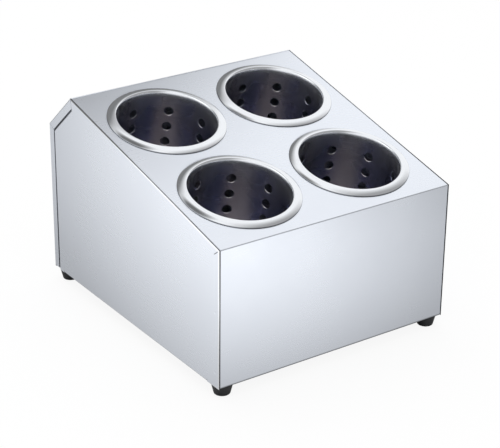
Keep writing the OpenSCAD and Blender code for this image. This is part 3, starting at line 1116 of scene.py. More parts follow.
@dataclass
class CaseSheets:
    """The case: one sheet for the front and the deck, two side panels, a rear cover and the base tray."""

    shape: CaseShape
    finishes: Finishes

    def build(self) -> list[bpy.types.Object]:
        """Builds and dresses the case, and hands over its pieces.

        Returns:
            The pieces.
        """
        made = [self.piece("front_and_deck", self.front_and_deck(), 0.0),
                self.piece("rear_cover", self.rear_cover(), 0.0)]
        for side in Side:
            made.append(self.piece(f"{side.word}_side_panel", SidePanel(self.shape, side).build(), 1.0))
        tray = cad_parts["base_tray"]
        tray.data.materials.clear()
        tray.data.materials.append(self.finishes.case)
        return [*made, tray]

    def piece(self, node: str, skin: Skin, grain: float) -> bpy.types.Object:
        """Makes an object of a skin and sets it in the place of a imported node.

        Args:
            node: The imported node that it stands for.
            skin: The skin.
            grain: 0 for grain along X, and 1 for grain along Y.

        Returns:
            The object.
        """
        points, faces, corners, grime = skin.solid(self.shape.sheet_t)
        name = f"{node.removesuffix('_panel')}_sheet"
        made = make_object(name, points, faces, self.finishes.case, corners)
        # The seam attribute holds the painted shade, and -1 where a rounded edge gets its painted highlight.
        for label, values in (("seam", grime), ("grain", [grain] * len(points))):
            made.data.attributes.new(label, "FLOAT", "POINT").data.foreach_set("value", values)
        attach(made, "case")
        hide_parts(node)
        return made

    def front_and_deck(self) -> Skin:
        """The front lip, the front, the deck and its rear flange, with the side flanges.

        Returns:
            The skin.
        """
        c, skin, r = self.shape, Skin(), self.shape.bend_r
        bend = SideBend(c.inner_x - c.seam_slit, c.seam_r, c.flange_w)
        ends = bend.face()
        bottom = Row.bend(c.inset(Corner.FRONT_BOTTOM, r, r), r, c.down, c.face)
        fold = Row.bend(c.inset(Corner.FRONT_TOP, c.fold_r, c.fold_r), c.fold_r, c.face, c.deck)
        rear = Row.bend(c.inset(Corner.REAR_TOP, c.sheet_t + r, r), r, c.deck, c.slant)
        along_slant = Vector((c.slant.y, -c.slant.x))
        tip = Row.straight(c.inset(Corner.REAR_TOP, c.sheet_t, 0) + along_slant * c.rear_flange_l, c.slant)
        foot = Row.straight(c.inset(Corner.FRONT_BOTTOM, 0, c.sheet_lift), c.face)
        near_front = Row(lambda d: c.inset(Corner.FRONT_TOP, c.mitre(d), d), c.face)
        near_deck = Row(lambda d: c.inset(Corner.FRONT_TOP, d, c.mitre(d)), c.deck)
        far_deck = Row(lambda d: c.inset(Corner.REAR_TOP, c.tongue_w + 1, d), c.deck)
        front_rows = [bottom[-1], foot, near_front, fold[0]]
        deck_rows = [fold[-1], near_deck, far_deck, rear[0]]

        self.lip(skin, ends, (c.front_y + r, c.front_y + c.lip_w), c.foot_front_y)
        # Painted shade on the bend at the front's foot, where it turns under the case.
        skin.soil_rows(skin.cross(ends, bottom), 1.0, 6.5)
        for rows in (front_rows, fold, [*rear, tip]):
            skin.cross(ends, rows)
        for side in Side:
            # Painted shade on the side bends, where the sheet turns in under the side panels, and on their
            # lowest bend.
            for rows, start in ((bottom, 14.0), (front_rows, 8.0), (fold, 14.0), (deck_rows, 22.0)):
                grid = skin.cross(bend.arc(side), rows, Grime(start, SEAM_PAINTED_SHADE[side]))
                if rows is bottom:
                    skin.soil_rows(grid, 1.0, 6.5)
            skin.cross(bend.brim(side), [foot, near_front])
            skin.cross(bend.brim(side), [near_deck, far_deck])

        lower = fold[-1].at(0)
        slope = [(row.at(0) - lower).length for row in deck_rows]
        left, right = ([Vector((end.x, s)) for s in slope] for end in ends)
        outline = [left[0], *right, *left[:0:-1]]
        start = (lower - c.corners[Corner.FRONT_TOP]).length
        holes = [ring((s.value * c.cup_x, c.cup_s[e] - start), c.hole_r, c.hole_steps)
                 for s in Side for e in End]
        skin.flat([outline, *holes], lambda p: Vector((p.x, lower.x + c.cos * p.y, lower.y + c.sin * p.y)),
                  Vector((0, *c.deck)))
        return skin

    def rear_cover(self) -> Skin:
        """The slanted corner, the back and its lip, with a return along each side.

        Returns:
            The skin.
        """
        c, skin, r = self.shape, Skin(), self.shape.bend_r
        bend = SideBend(c.half_w, r, c.return_w)
        ends = bend.face()
        top = Row(lambda d: c.inset(Corner.REAR_TOP, d, d + c.joint_gap if d else 0), c.slant)
        knee = Row.bend(c.inset(Corner.CHAMFER_LOW, r, r), r, c.slant, c.back)
        bottom = Row.bend(c.inset(Corner.REAR_BOTTOM, r, r), r, c.back, c.down)
        above = Row(lambda d: c.inset(Corner.CHAMFER_LOW, max(d, r) + c.knee_slit, d), c.slant)
        below = Row(lambda d: c.inset(Corner.CHAMFER_LOW, d, max(d, r) + c.knee_slit), c.back)
        foot = Row(lambda d: c.inset(Corner.REAR_BOTTOM, r + 0.5, d), c.back)
        for rows in ([top, above, knee[0]], knee, [knee[-1], below, foot, bottom[0]], bottom):
            for columns in (ends, *(bend.arc(side) for side in Side)):
                skin.cross(columns, rows)
        for side in Side:
            skin.cross(bend.brim(side), [top, above])
            skin.cross(bend.brim(side), [below, foot])
        self.lip(skin, ends, (c.rear_y - c.lip_w, c.rear_y - r), c.foot_rear_y)
        return skin

    def lip(self, skin: Skin, ends: Sequence[Column], span: tuple[float, float], hole_y: float) -> None:
        """Adds a flat lip under the case, with the holes of two feet.

        Args:
            skin: The sheet's skin.
            ends: The columns at the lip's two ends.
            span: Where the lip begins and ends from front to rear.
            hole_y: Where the holes stand from front to rear.
        """
        c = self.shape
        low, high = span
        left, right = ends
        outline = [Vector(p) for p in ((left.x, low), (right.x, low), (right.x, high), (left.x, high))]
        holes = [ring((side.value * c.foot_x, hole_y), c.bolt_hole_r, c.bolt_hole_steps) for side in Side]
        skin.flat([outline, *holes], lambda p: Vector((*p, c.base_z)), DOWN)


# -------------------------------------------------------------------------------------------------- cups


class CopyTree(NodeTree):
    """A Geometry Nodes tree that sets copies of a cell on points, and makes them real and finished."""

    def __init__(self, name: str, sizes: dict[str, float]) -> None:
        """Starts a tree with its named inputs.

        Args:
            name: The tree's name.
            sizes: Default value of each input, as a whole number for a count.
        """
        super().__init__(bpy.data.node_groups.new(name, "GeometryNodeTree"))
        face = self.tree.interface
        for way in ("INPUT", "OUTPUT"):
            face.new_socket("Geometry", in_out=way, socket_type="NodeSocketGeometry")
        for label, value in sizes.items():
            kind = "NodeSocketInt" if isinstance(value, int) else "NodeSocketFloat"
            face.new_socket(label, in_out="INPUT", socket_type=kind).default_value = value
        face.new_socket("Finish", in_out="INPUT", socket_type="NodeSocketMaterial")
        self.given = self.node("NodeGroupInput").outputs
        self.index = self.node("GeometryNodeInputIndex").outputs[0]

    def finish(self, count: object, place: dict[str, object],
               turn: object = 0.0) -> bpy.types.GeometryNodeTree:
        """Sets the copies on their points, and ends the tree in Realize Instances and Set Material.

        Args:
            count: Number of copies.
            place: Each coordinate of a copy that isn't 0.
            turn: Its turn about the upright axis.

        Returns:
            The tree.
        """
        spots = self.node("GeometryNodePoints", {"Count": count}).outputs[0]
        where = self.node("ShaderNodeCombineXYZ", place).outputs[0]
        moved = self.node("GeometryNodeSetPosition", {"Geometry": spots, "Position": where}).outputs[0]
        cell = self.node("GeometryNodeGeometryToInstance", {0: self.given["Geometry"]}).outputs[0]
        turned = self.node("ShaderNodeCombineXYZ", {"Z": turn}).outputs[0]
        set_out = {"Points": moved, "Instance": cell, "Rotation": turned}
        copies = self.node("GeometryNodeInstanceOnPoints", set_out).outputs[0]
        real = self.node("GeometryNodeRealizeInstances", {"Geometry": copies}).outputs[0]
        dressed = self.node("GeometryNodeSetMaterial", {"Geometry": real, "Material": self.given["Finish"]})
        self.node("NodeGroupOutput", {"Geometry": dressed.outputs[0]})
        return self.tree


def turned_array() -> bpy.types.GeometryNodeTree:
    """A tree that sets copies of a cell round an axis, in rows one below the other.

    Returns:
        The tree, with the inputs Columns, Rows, Row Pitch, First Height and Finish.
    """
    made = CopyTree("turned_array", {"Columns": 8, "Rows": 1, "Row Pitch": 0.018, "First Height": 0.0})
    columns = made.given["Columns"]
    row = made.sum("FLOOR", made.sum("DIVIDE", made.index, columns))
    share = made.sum("DIVIDE", made.sum("FLOORED_MODULO", made.index, columns), columns)
    drop = made.sum("MULTIPLY", row, made.given["Row Pitch"])
    height = made.sum("SUBTRACT", made.given["First Height"], drop)
    return made.finish(made.sum("MULTIPLY", columns, made.given["Rows"]), {"Z": height},
                       made.sum("MULTIPLY", share, math.tau))


def corner_array() -> bpy.types.GeometryNodeTree:
    """A tree that sets a copy of a small part under each corner of the case.

    Returns:
        The tree, with the inputs Side, Front, Rear and Finish.
    """
    made = CopyTree("corner_array", {"Side": 0.1, "Front": -0.1, "Rear": 0.1})
    odd = made.sum("FLOORED_MODULO", made.index, 2.0)
    late = made.sum("FLOOR", made.sum("DIVIDE", made.index, 2.0))
    x = made.sum("MULTIPLY", made.given["Side"], made.sum("SUBTRACT", made.sum("MULTIPLY", odd, 2.0), 1.0))
    length = made.sum("SUBTRACT", made.given["Rear"], made.given["Front"])
    y = made.sum("ADD", made.given["Front"], made.sum("MULTIPLY", late, length))
    return made.finish(4, {"X": x, "Y": y})


def grown(seed: bpy.types.Object, tree: bpy.types.GeometryNodeTree, **values: object) -> bpy.types.Mesh:
    """Runs a tree on an object and returns the result as a plain mesh.

    Args:
        seed: The object with the cell; it is removed.
        tree: The tree.
        values: The tree's inputs, with _ for a space in a name.

    Returns:
        The mesh.
    """
    modifier = seed.modifiers.new("array", "NODES")
    modifier.node_group = tree
    sockets = {s.name: s.identifier for s in tree.interface.items_tree if s.in_out == "INPUT"}
    for name, value in values.items():
        modifier[sockets[name.replace("_", " ")]] = value
    mesh = evaluated(seed)
    bpy.data.objects.remove(seed)
    return mesh


@dataclass
class CupShape:
    """A cup's sizes, measured along its own axis from the deck's upper face."""

    rim_d: float = 117.5
    rim_reach: float = 9.75
    rim_h: float = 3.2
    flare_r: float = 1.6
    flare_h: float = 8.0
    height: float = 137.0
    wall_t: float = 0.6
    floor_r: float = 6.0
    drain_d: float = 9.5
    columns: int = 8
    rows: int = 6
    first_row: float = 19.0
    row_pitch: float = 18.0
    floor_holes: int = 6
    floor_ring_d: float = 54.0
    rim_lean: float = 33.0
    rim_curl_r: float = 0.7
    hole_bevel: float = 0.34
    bevel_depths: tuple[float, float] = (0.42, 0.58)
    steps: int = 96
    hole_steps: int = 24

    def __post_init__(self) -> None:
        """Works out the sizes that follow from the others."""
        self.r = self.rim_d / 2 - self.rim_reach
        self.inner_r = self.r - self.wall_t
        self.bottom = self.rim_h - self.height
        self.crest_r = self.r + self.flare_r
        self.flare_z = self.rim_h - self.wall_t - self.flare_h
        lean = math.radians(self.rim_lean)
        self.curl_x = self.rim_d / 2 - self.rim_curl_r
        self.dome_r = (self.curl_x - self.crest_r + self.rim_curl_r * math.sin(lean)) / math.sin(lean)
        self.dome_z = self.rim_h - self.dome_r
        self.curl_z = self.dome_z + (self.dome_r - self.rim_curl_r) * math.cos(lean)
        self.cells_top = -self.first_row + self.row_pitch / 2
        self.cells_low = self.cells_top - self.rows * self.row_pitch
        self.corner_r, self.corner_z = self.r - self.floor_r, self.bottom + self.floor_r
        self.lip_r = self.drain_d / 2 + self.hole_bevel

    def normal(self, spot: Vector, own: Vector) -> Vector:
        """The exact normal of the turned form at a point, or the face's own where the two differ much.

        Args:
            spot: The point.
            own: The normal of the face.

        Returns:
            The normal.
        """
        radius = math.hypot(spot.x, spot.y)
        away = Vector((spot.x, spot.y, 0.0)) / radius if radius > 1e-6 else Vector((1, 0, 0))
        if radius > self.curl_x + self.rim_curl_r * math.sin(math.radians(self.rim_lean)) - 1e-3:
            form = away * (radius - self.curl_x) + Vector((0, 0, spot.z - self.curl_z))
        elif radius > self.crest_r + 1e-3:
            form = away * (radius - self.crest_r) + Vector((0, 0, spot.z - self.dome_z))
        elif spot.z > self.flare_z:
            more = self.wall_t if own.dot(away) < 0 else 0.0
            form = away * ((radius - self.crest_r) / (self.flare_r + more) ** 2)
            form.z = (spot.z - self.flare_z) / (self.flare_h + more) ** 2
        elif spot.z < self.corner_z and radius > self.corner_r:
            form = away * (radius - self.corner_r) + Vector((0, 0, spot.z - self.corner_z))
        elif spot.z < self.bottom + self.wall_t + 0.01:
            form = Vector((0, 0, 1))
        else:
            form = away
        form.normalize()
        lean = own.dot(form)
        return form * math.copysign(1.0, lean) if abs(lean) > 0.9 else own

    @staticmethod
    def arc(centre: tuple[float, float], radii: tuple[float, float], span: tuple[float, float],
            n: int) -> list[tuple[float, float]]:
        """Points along an arc of the section.

        Args:
            centre: Radius and height of its centre.
            radii: Its two half axes.
            span: The angles in degrees where it begins and ends.
            n: Number of steps.

        Returns:
            Radius and height of each point.
        """
        turns = [math.radians(span[0] + (span[1] - span[0]) * i / n) for i in range(n + 1)]
        return [(centre[0] + radii[0] * math.cos(a), centre[1] + radii[1] * math.sin(a)) for a in turns]

    def section(self) -> list[list[tuple[float, float]]]:
        """The plain parts of the cup's section, as radius and height: its rim and the two floor corners.

        Returns:
            The points of each part, in the order that faces its skin outwards.
        """
        t, lean, arc = self.wall_t, 90 - self.rim_lean, self.arc
        outer, inner = self.rim_curl_r, self.rim_curl_r - t
        crest, dome = (self.crest_r, self.flare_z), (self.crest_r, self.dome_z)
        curl, corner = (self.curl_x, self.curl_z), (self.corner_r, self.corner_z)
        rim = [(self.r, self.cells_top), *arc(crest, (self.flare_r, self.flare_h), (180, 90), 8),
               *arc(dome, (self.dome_r - t, self.dome_r - t), (90, lean), 8)[1:],
               *arc(curl, (inner, inner), (lean, 0), 2)[1:], *arc(curl, (outer, outer), (0, lean), 5),
               *arc(dome, (self.dome_r, self.dome_r), (lean, 90), 12)[1:],
               *arc(crest, (self.flare_r + t, self.flare_h + t), (90, 180), 12)[1:],
               (self.inner_r, self.cells_top)]
        outside = [(self.r, self.cells_low), *arc(corner, (self.floor_r, self.floor_r), (0, -90), 8)]
        within = [(self.inner_r, self.cells_low),
                  *arc(corner, (self.floor_r - t, self.floor_r - t), (0, -90), 8)]
        return [rim, outside[::-1], within]


@dataclass
class Cut:
    """A hole through a cell, or the part of one that lies on the cell's outline."""

    loop: Loop
    centre: Vector
    whole: bool = True


@dataclass
class Cup:
    """A perforated cup that hangs by its rim in a hole of the deck and lifts out along its own axis."""

    shape: CupShape
    case: CaseShape
    finishes: Finishes
    side: Side
    end: End
    turn: float

    def build(self) -> bpy.types.Object:
        """Builds the cup and sets it in its hole.

        Returns:
            The cup.
        """
        s, name, finish = self.shape, f"{self.end.word}_{self.side.word}", self.finishes.cup
        tree = bpy.data.node_groups.get("turned_array") or turned_array()
        skin = Skin()
        for mesh in (grown(self.wall_cell(), tree, Columns=s.columns, Rows=s.rows, Row_Pitch=s.row_pitch * MM,
                           First_Height=-s.first_row * MM, Finish=finish),
                     grown(self.floor_cell(), tree, Columns=s.floor_holes, Rows=1, Finish=finish)):
            numbers = [skin.point(v.co / MM) for v in mesh.vertices]
            for polygon in mesh.polygons:
                skin.face(*(numbers[i] for i in polygon.vertices))
            bpy.data.meshes.remove(mesh)
        for line in s.section():
            skin.turned(line, s.steps)
        made = make_object(f"cup_{name}_drawn", skin.points, skin.faces, finish)
        merge_doubles(made.data)
        self.set_in_hole(made)
        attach(made, f"{name}_cup")
        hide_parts(f"cup_{name}")
        return made

    def set_in_hole(self, made: bpy.types.Object) -> None:
        """Gives a cup its exact normals and its own coordinates, and moves its mesh to its hole.

        Args:
            made: The cup, upright at the origin.
        """
        points = [v.co / MM for v in made.data.vertices]
        corners = []
        for polygon in made.data.polygons:
            own = area_way([points[n] for n in polygon.vertices]).normalized()
            corners += [self.shape.normal(points[n], own) for n in polygon.vertices]
        level = Matrix.Rotation(math.radians(self.turn), 4, "Z")
        place = made.data.attributes.new("cup_place", "FLOAT_VECTOR", "POINT")
        place.data.foreach_set("vector", [v * MM for p in points for v in level @ p])
        hole = self.case.deck_matrix(self.side.value * self.case.cup_x, self.case.cup_s[self.end])
        whole = hole @ level
        made.data.transform(Matrix.Scale(MM, 4) @ whole @ Matrix.Scale(1 / MM, 4))
        made.data.normals_split_custom_set([tuple(whole.to_3x3() @ n) for n in corners])

    def cell(self, name: str, outline: Loop, cuts: Sequence[Cut], place: Callable[[Vector, float], Vector],
             lines: Iterable[tuple[int, int]] = ()) -> bpy.types.Object:
        """A piece of double skin with holes through it, each with a small bevel on both sides.

        Args:
            name: The cell's name.
            outline: Corners of the outline in the flat pattern, anticlockwise.
            cuts: The holes.
            place: Takes a point of the pattern, and a depth below the outer face, to its place.
            lines: Further lines that the faces keep to, as numbers of the outline's corners.

        Returns:
            The cell's object.
        """
        s = self.shape
        corners, triangles = covered([outline, *[cut.loop for cut in cuts if cut.whole]], lines)
        count = len(corners)
        points = [place(c, depth) for depth in (0.0, s.wall_t) for c in corners]
        faces = [*triangles, *[tuple(count + i for i in reversed(t)) for t in triangles]]
        shrink = s.drain_d / 2 / s.lip_r
        for cut in cuts:
            near = [min(range(count), key=lambda k, p=p: (corners[k] - p).length) for p in cut.loop]
            bands = [near]
            for share in s.bevel_depths:
                bands.append(range(len(points), len(points) + len(near)))
                points += [place(cut.centre + (p - cut.centre) * shrink, s.wall_t * share) for p in cut.loop]
            bands.append([count + n for n in near])
            for one, two in zip(bands, bands[1:]):
                for i in range(0 if cut.whole else 1, len(near)):
                    faces.append((one[i - 1], one[i], two[i], two[i - 1]))
        return make_object(name, points, faces, self.finishes.cup)

    def wall_cell(self) -> bpy.types.Object:
        """One cell of the wall: a share of the way round and one row high, with its hole.

        Returns:
            The cell.
        """
        s = self.shape
        span, per = 360 / s.columns, s.steps // s.columns
        angles = [span * (i / per - 0.5) for i in range(per + 1)]
        base, top = ([Vector((a * math.radians(s.r), z)) for a in angles]
                     for z in (-s.row_pitch / 2, s.row_pitch / 2))
        clear = math.degrees(s.lip_r / s.r)
        lines = [(2 * per + 1 - i, i) for i, a in enumerate(angles) if clear < abs(a) < span / 2 - 0.1]
        hole = ring((0, 0), s.lip_r, s.hole_steps, 7.5)

        def place(p: Vector, depth: float) -> Vector:
            """Wraps a point of the pattern round the cup's axis."""
            a = p.x / s.r + math.radians(span / 2)
            return Vector(((s.r - depth) * math.cos(a), (s.r - depth) * math.sin(a), p.y))

        return self.cell("wall_cell", [*base, *reversed(top)], [Cut(hole, Vector((0, 0)))], place, lines)

    def floor_cell(self) -> bpy.types.Object:
        """One wedge of the floor, from the hole in the middle out to the rounded corner, with its hole.

        Returns:
            The cell.
        """
        s = self.shape
        span, per = 360 / s.floor_holes, s.steps // s.floor_holes
        rim = [polar(s.corner_r, span * i / per) for i in range(per + 1)]
        core = [polar(s.lip_r, span * i / 4) for i in range(5)]
        centre = polar(s.floor_ring_d / 2, span / 2)
        cuts = [Cut(ring(centre, s.lip_r, s.hole_steps, 7.5), centre), Cut(core, Vector((0, 0)), False)]
        return self.cell("floor_cell", [*rim, *reversed(core)], cuts,
                         lambda p, depth: Vector((*p, s.bottom + s.wall_t - depth)))


# -------------------------------------------------------------------------------------------------- feet


@dataclass
class FootSet:
    """The four rubber feet, each with its washer, its screw and the nut inside the case."""

    case: CaseShape
    finishes: Finishes
    foot_h: float = 11.0
    top_d: float = 21.0
    bottom_d: float = 16.0
    edge_r: float = 1.0
    web: float = 4.0
    screw_d: float = 5.0
    head_d: float = 9.0
    head_h: float = 3.2
    washer_t: float = 1.0
    nut_af: float = 8.0
    nut_h: float = 4.0
    nut_chamfer: float = 0.35
    screw_end: float = 1.5
    crown: float = 0.62
    slot_long: float = 0.29
    slot_wide: float = 0.062
    slot_deep: float = 0.5
    slot_taper: float = 0.55
    round_steps: int = 48
    screw_steps: int = 32
    nut_steps: int = 24
    crease: float = 38.0

    def __post_init__(self) -> None:
        """Works out the sizes that follow from the others."""
        self.recess_r = self.head_d / 2 + 1
        self.recess_top = self.foot_h - self.web
        self.head_top = self.recess_top - self.washer_t
        self.nut_z = self.foot_h + 2 * self.case.sheet_t

    def build(self) -> list[bpy.types.Object]:
        """Builds the feet and their fasteners, and hands over the pieces.

        Returns:
            The pieces.
        """
        c, zinc, made = self.case, self.finishes.zinc, []
        tree = corner_array()
        for name, seed, node, slot, finish in (
            ("rubber_feet", self.foot(), "foot", "foot_rubber", self.finishes.rubber),
            ("foot_washers", self.washer(), "foot_washer", "zinc_plate", zinc),
            ("foot_screws", self.screw(), "foot_screw", "zinc_plate", zinc),
            ("foot_nuts", self.nut(), "foot_nut", "zinc_plate", zinc),
        ):
            mesh = grown(seed, tree, Side=c.foot_x * MM, Front=c.foot_front_y * MM, Rear=c.foot_rear_y * MM,
                         Finish=finish)
            mesh.name = name
            piece = bpy.data.objects.new(name, mesh)
            bpy.context.scene.collection.objects.link(piece)
            mesh.shade_smooth()
            mesh.set_sharp_from_angle(angle=math.radians(self.crease))
            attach(piece, "case")
            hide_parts(*(f"{node}_{e.word}_{s.word}" for e in End for s in Side))
            made.append(piece)
        return made

    @staticmethod
    def turned(name: str, section: Sequence[tuple[float, float]], steps: int,
               material: bpy.types.Material) -> bpy.types.Object:
        """Turns a section about the upright axis.

        Args:
            name: The object's name.
            section: Radius and height of each corner, as a closed line or from axis to axis.
            steps: Faces round the axis.
            material: The material.

        Returns:
            The object.
        """
        skin = Skin()
        skin.turned([*section, section[0]] if section[0][0] > 0 else section, steps)
        return make_object(name, skin.points, skin.faces, material)

    def foot(self) -> bpy.types.Object:
        """A tapered foot with rounded edges and a recess below.

        Returns:
            The object.
        """
        lean = math.pi / 2 - math.atan((self.top_d - self.bottom_d) / 2 / self.foot_h)
        top_r, bore, deep = self.top_d / 2, self.case.bolt_hole_r, self.recess_top
        section = [(self.recess_r + 0.3, 0.0)]
        for i in range(7):
            a = -math.pi / 2 + lean * i / 6
            section.append((self.bottom_d / 2 - self.edge_r + self.edge_r * math.cos(a),
                            self.edge_r + self.edge_r * math.sin(a)))
        section += [(top_r - 0.12, self.foot_h - 0.5), (top_r - 0.2, self.foot_h - 0.15),
                    (top_r - 0.45, self.foot_h), (bore, self.foot_h), (bore, deep),
                    (self.recess_r - 0.4, deep), (self.recess_r, deep - 0.4), (self.recess_r, 0.3)]
        return self.turned("foot_form", section, self.round_steps, self.finishes.rubber)

    def washer(self) -> bpy.types.Object:
        """A flat washer with softened edges.

        Returns:
            The object.
        """
        inner, outer = self.case.bolt_hole_r, self.recess_r - 0.2
        low, high, soft = self.head_top, self.recess_top, DEBURR
        section = [(inner, low + soft), (inner + soft, low), (outer - soft, low), (outer, low + soft),
                   (outer, high - soft), (outer - soft, high), (inner + soft, high), (inner, high - soft)]
        return self.turned("washer_form", section, self.round_steps, self.finishes.zinc)

    def screw(self) -> bpy.types.Object:
        """A pan head screw with a cross recess, standing head down.

        Returns:
            The object.
        """
        top, low, r = self.head_top, self.head_top - self.head_h, self.head_d / 2
        shank, tip = self.screw_d / 2 - 0.05, self.nut_z + self.nut_h + self.screw_end
        section = [(0.0, low)]
        for i in range(1, 7):
            a = math.radians(90 * i / 6)
            section.append((r * math.sin(a) ** 0.8, low + self.head_h * self.crown * (1 - math.cos(a))))
        section += [(r, top - 0.15), (r - 0.15, top), (shank, top), (shank, tip - 0.5), (shank - 0.45, tip),
                    (0.0, tip)]
        made = self.turned("screw_form", section, self.screw_steps, self.finishes.zinc)
        cutter = self.cross_recess(low)
        cut = made.modifiers.new("recess", "BOOLEAN")
        cut.object, cut.operation, cut.solver = cutter, "DIFFERENCE", "EXACT"
        mesh = evaluated(made)
        made.modifiers.clear()
        made.data = mesh
        bpy.data.objects.remove(cutter)
        return made

    def cross_recess(self, low: float) -> bpy.types.Object:
        """The tapered cross that is cut out of a screw's head.

        Args:
            low: Height of the head's crown.

        Returns:
            The cutting object.
        """
        long, wide = self.slot_long * self.head_d, self.slot_wide * self.head_d
        levels = ((low - 0.5, 1.0), (low + self.slot_deep * self.head_h, self.slot_taper))
        arms = [(x * math.cos(a) - y * math.sin(a), x * math.sin(a) + y * math.cos(a))
                for a in (math.radians(90 * k) for k in range(4))
                for x, y in ((long, -wide), (long, wide), (wide, wide))]
        points = [Vector((x * scale, y * scale, z)) for z, scale in levels for x, y in arms]
        n = len(arms)
        faces = [tuple(range(n - 1, -1, -1)), tuple(range(n, 2 * n))]
        faces += [(i, (i + 1) % n, n + (i + 1) % n, n + i) for i in range(n)]
        return make_object("cross_recess", points, faces, self.finishes.zinc)

    def nut(self) -> bpy.types.Object:
        """A hexagon nut with chamfered corners.

        Returns:
            The object.
        """
        skin, flat, low, high = Skin(), self.nut_af / 2, self.nut_z, self.nut_z + self.nut_h
        turned_r, corner_r = flat * 0.97, flat / math.cos(math.pi / 6)
        section = ((low, turned_r), (low + self.nut_chamfer, corner_r), (high - self.nut_chamfer, corner_r),
                   (high, turned_r), (high, 0.0), (low, 0.0), (low, turned_r))
        rings = []
        for z, most in section:
            line = []
            for i in range(self.nut_steps):
                a = math.tau * i / self.nut_steps
                to_flat = flat / math.cos((a + math.pi / 6) % (math.pi / 3) - math.pi / 6)
                reach, turn = min(most, to_flat) or self.screw_d / 2, a + math.pi / 6
                line.append(skin.point((reach * math.cos(turn), reach * math.sin(turn), z)))
            rings.append(line)
        skin.tube(rings)
        return make_object("nut_form", skin.points, skin.faces, self.finishes.zinc)


# ------------------------------------------------------------------------------------------------ studio


@dataclass(frozen=True)
class GreyPanel:
    """A soft-edged grey panel of the light tent, placed and sized by angles in degrees."""

    azimuth: float
    elevation: float
    inner: float
    outer: float
    level: float

    def shade(self, tent: Shader, way: Socket) -> Socket:
        """The tent's level with this panel alone, where it is seen in a direction.

        Args:
            tent: The tent's material.
            way: The direction.

        Returns:
            The level.
        """
        az, el = math.radians(self.azimuth), math.radians(self.elevation)
        centre = (math.sin(az) * math.cos(el), math.cos(az) * math.cos(el), math.sin(el))
        inner, outer = (math.cos(math.radians(angle)) for angle in (self.inner, self.outer))
        return tent.spread(tent.vector("DOT_PRODUCT", way, centre), 1.0, self.level, outer, inner)


@dataclass(frozen=True)
class LightTent:
    """A white dome over the table that only the steel sees, with grey panels for contrast."""

    panels: tuple[GreyPanel, ...]
    radius: float = 900.0
    step: float = 7.5

    def build(self) -> None:
        """Builds the dome; azimuth 0 is behind the object and 90 to its right."""
        shade = Shader("light_tent")
        way = shade.vector("NORMALIZE", shade.object_space())
        level, *others = (panel.shade(shade, way) for panel in self.panels)
        for other in others:
            level = shade.sum("MULTIPLY", level, other)
        glow = shade.node("ShaderNodeEmission", {"Strength": level})
        shade.fill(shade.output, {"Surface": glow.outputs[0]})
        skin = Skin()
        heights = [90 - self.step * i for i in range(int(90 / self.step) + 1)]
        skin.turned([tuple(polar(self.radius, height)) for height in heights], int(360 / self.step))
        dome = make_object("light_tent", skin.points, skin.faces, shade.material)
        dome.visible_camera = dome.visible_diffuse = dome.visible_shadow = False


@dataclass(frozen=True)
class Pool:
    """A pool of light on the floor, as the steel sees it."""

    centre: tuple[float, float]
    radii: tuple[float, float]
    full: float
    gone: float
    level: float
    turn: float = 0.0

    def glow(self, shade: Shader, around: float) -> Socket:
        """Adds the pool to the floor's material.

        Args:
            shade: The floor's material.
            around: The floor's level outside the pool.

        Returns:
            The level.
        """
        mapping = shade.node("ShaderNodeMapping", {
            "Vector": shade.node("ShaderNodeTexCoord").outputs["Object"],
            "Location": (self.centre[0] * MM, self.centre[1] * MM, 0.0),
            "Rotation": (0.0, 0.0, math.radians(self.turn)),
            "Scale": (self.radii[0] * MM, self.radii[1] * MM, 1.0)}, vector_type="TEXTURE")
        away = shade.vector("LENGTH", mapping.outputs["Vector"])
        return shade.spread(away, self.level, around, self.full, self.gone)


@dataclass(frozen=True)
class Lamp:
    """A round soft lamp, aimed at the object and hidden from the steel; place and size in metres."""

    name: str
    spot: tuple[float, float, float]
    size: float
    power: float

    def hang(self) -> None:
        """Hangs the lamp."""
        data = bpy.data.lights.new(self.name, "AREA")
        data.shape, data.size, data.energy = "DISK", self.size, self.power
        made = bpy.data.objects.new(self.name, data)
        way = Vector(self.spot) - MIDDLE
        made.matrix_world = Matrix.Translation(self.spot) @ way.to_track_quat("Z", "Y").to_matrix().to_4x4()
        made.visible_camera = made.visible_glossy = False
        bpy.context.scene.collection.objects.link(made)


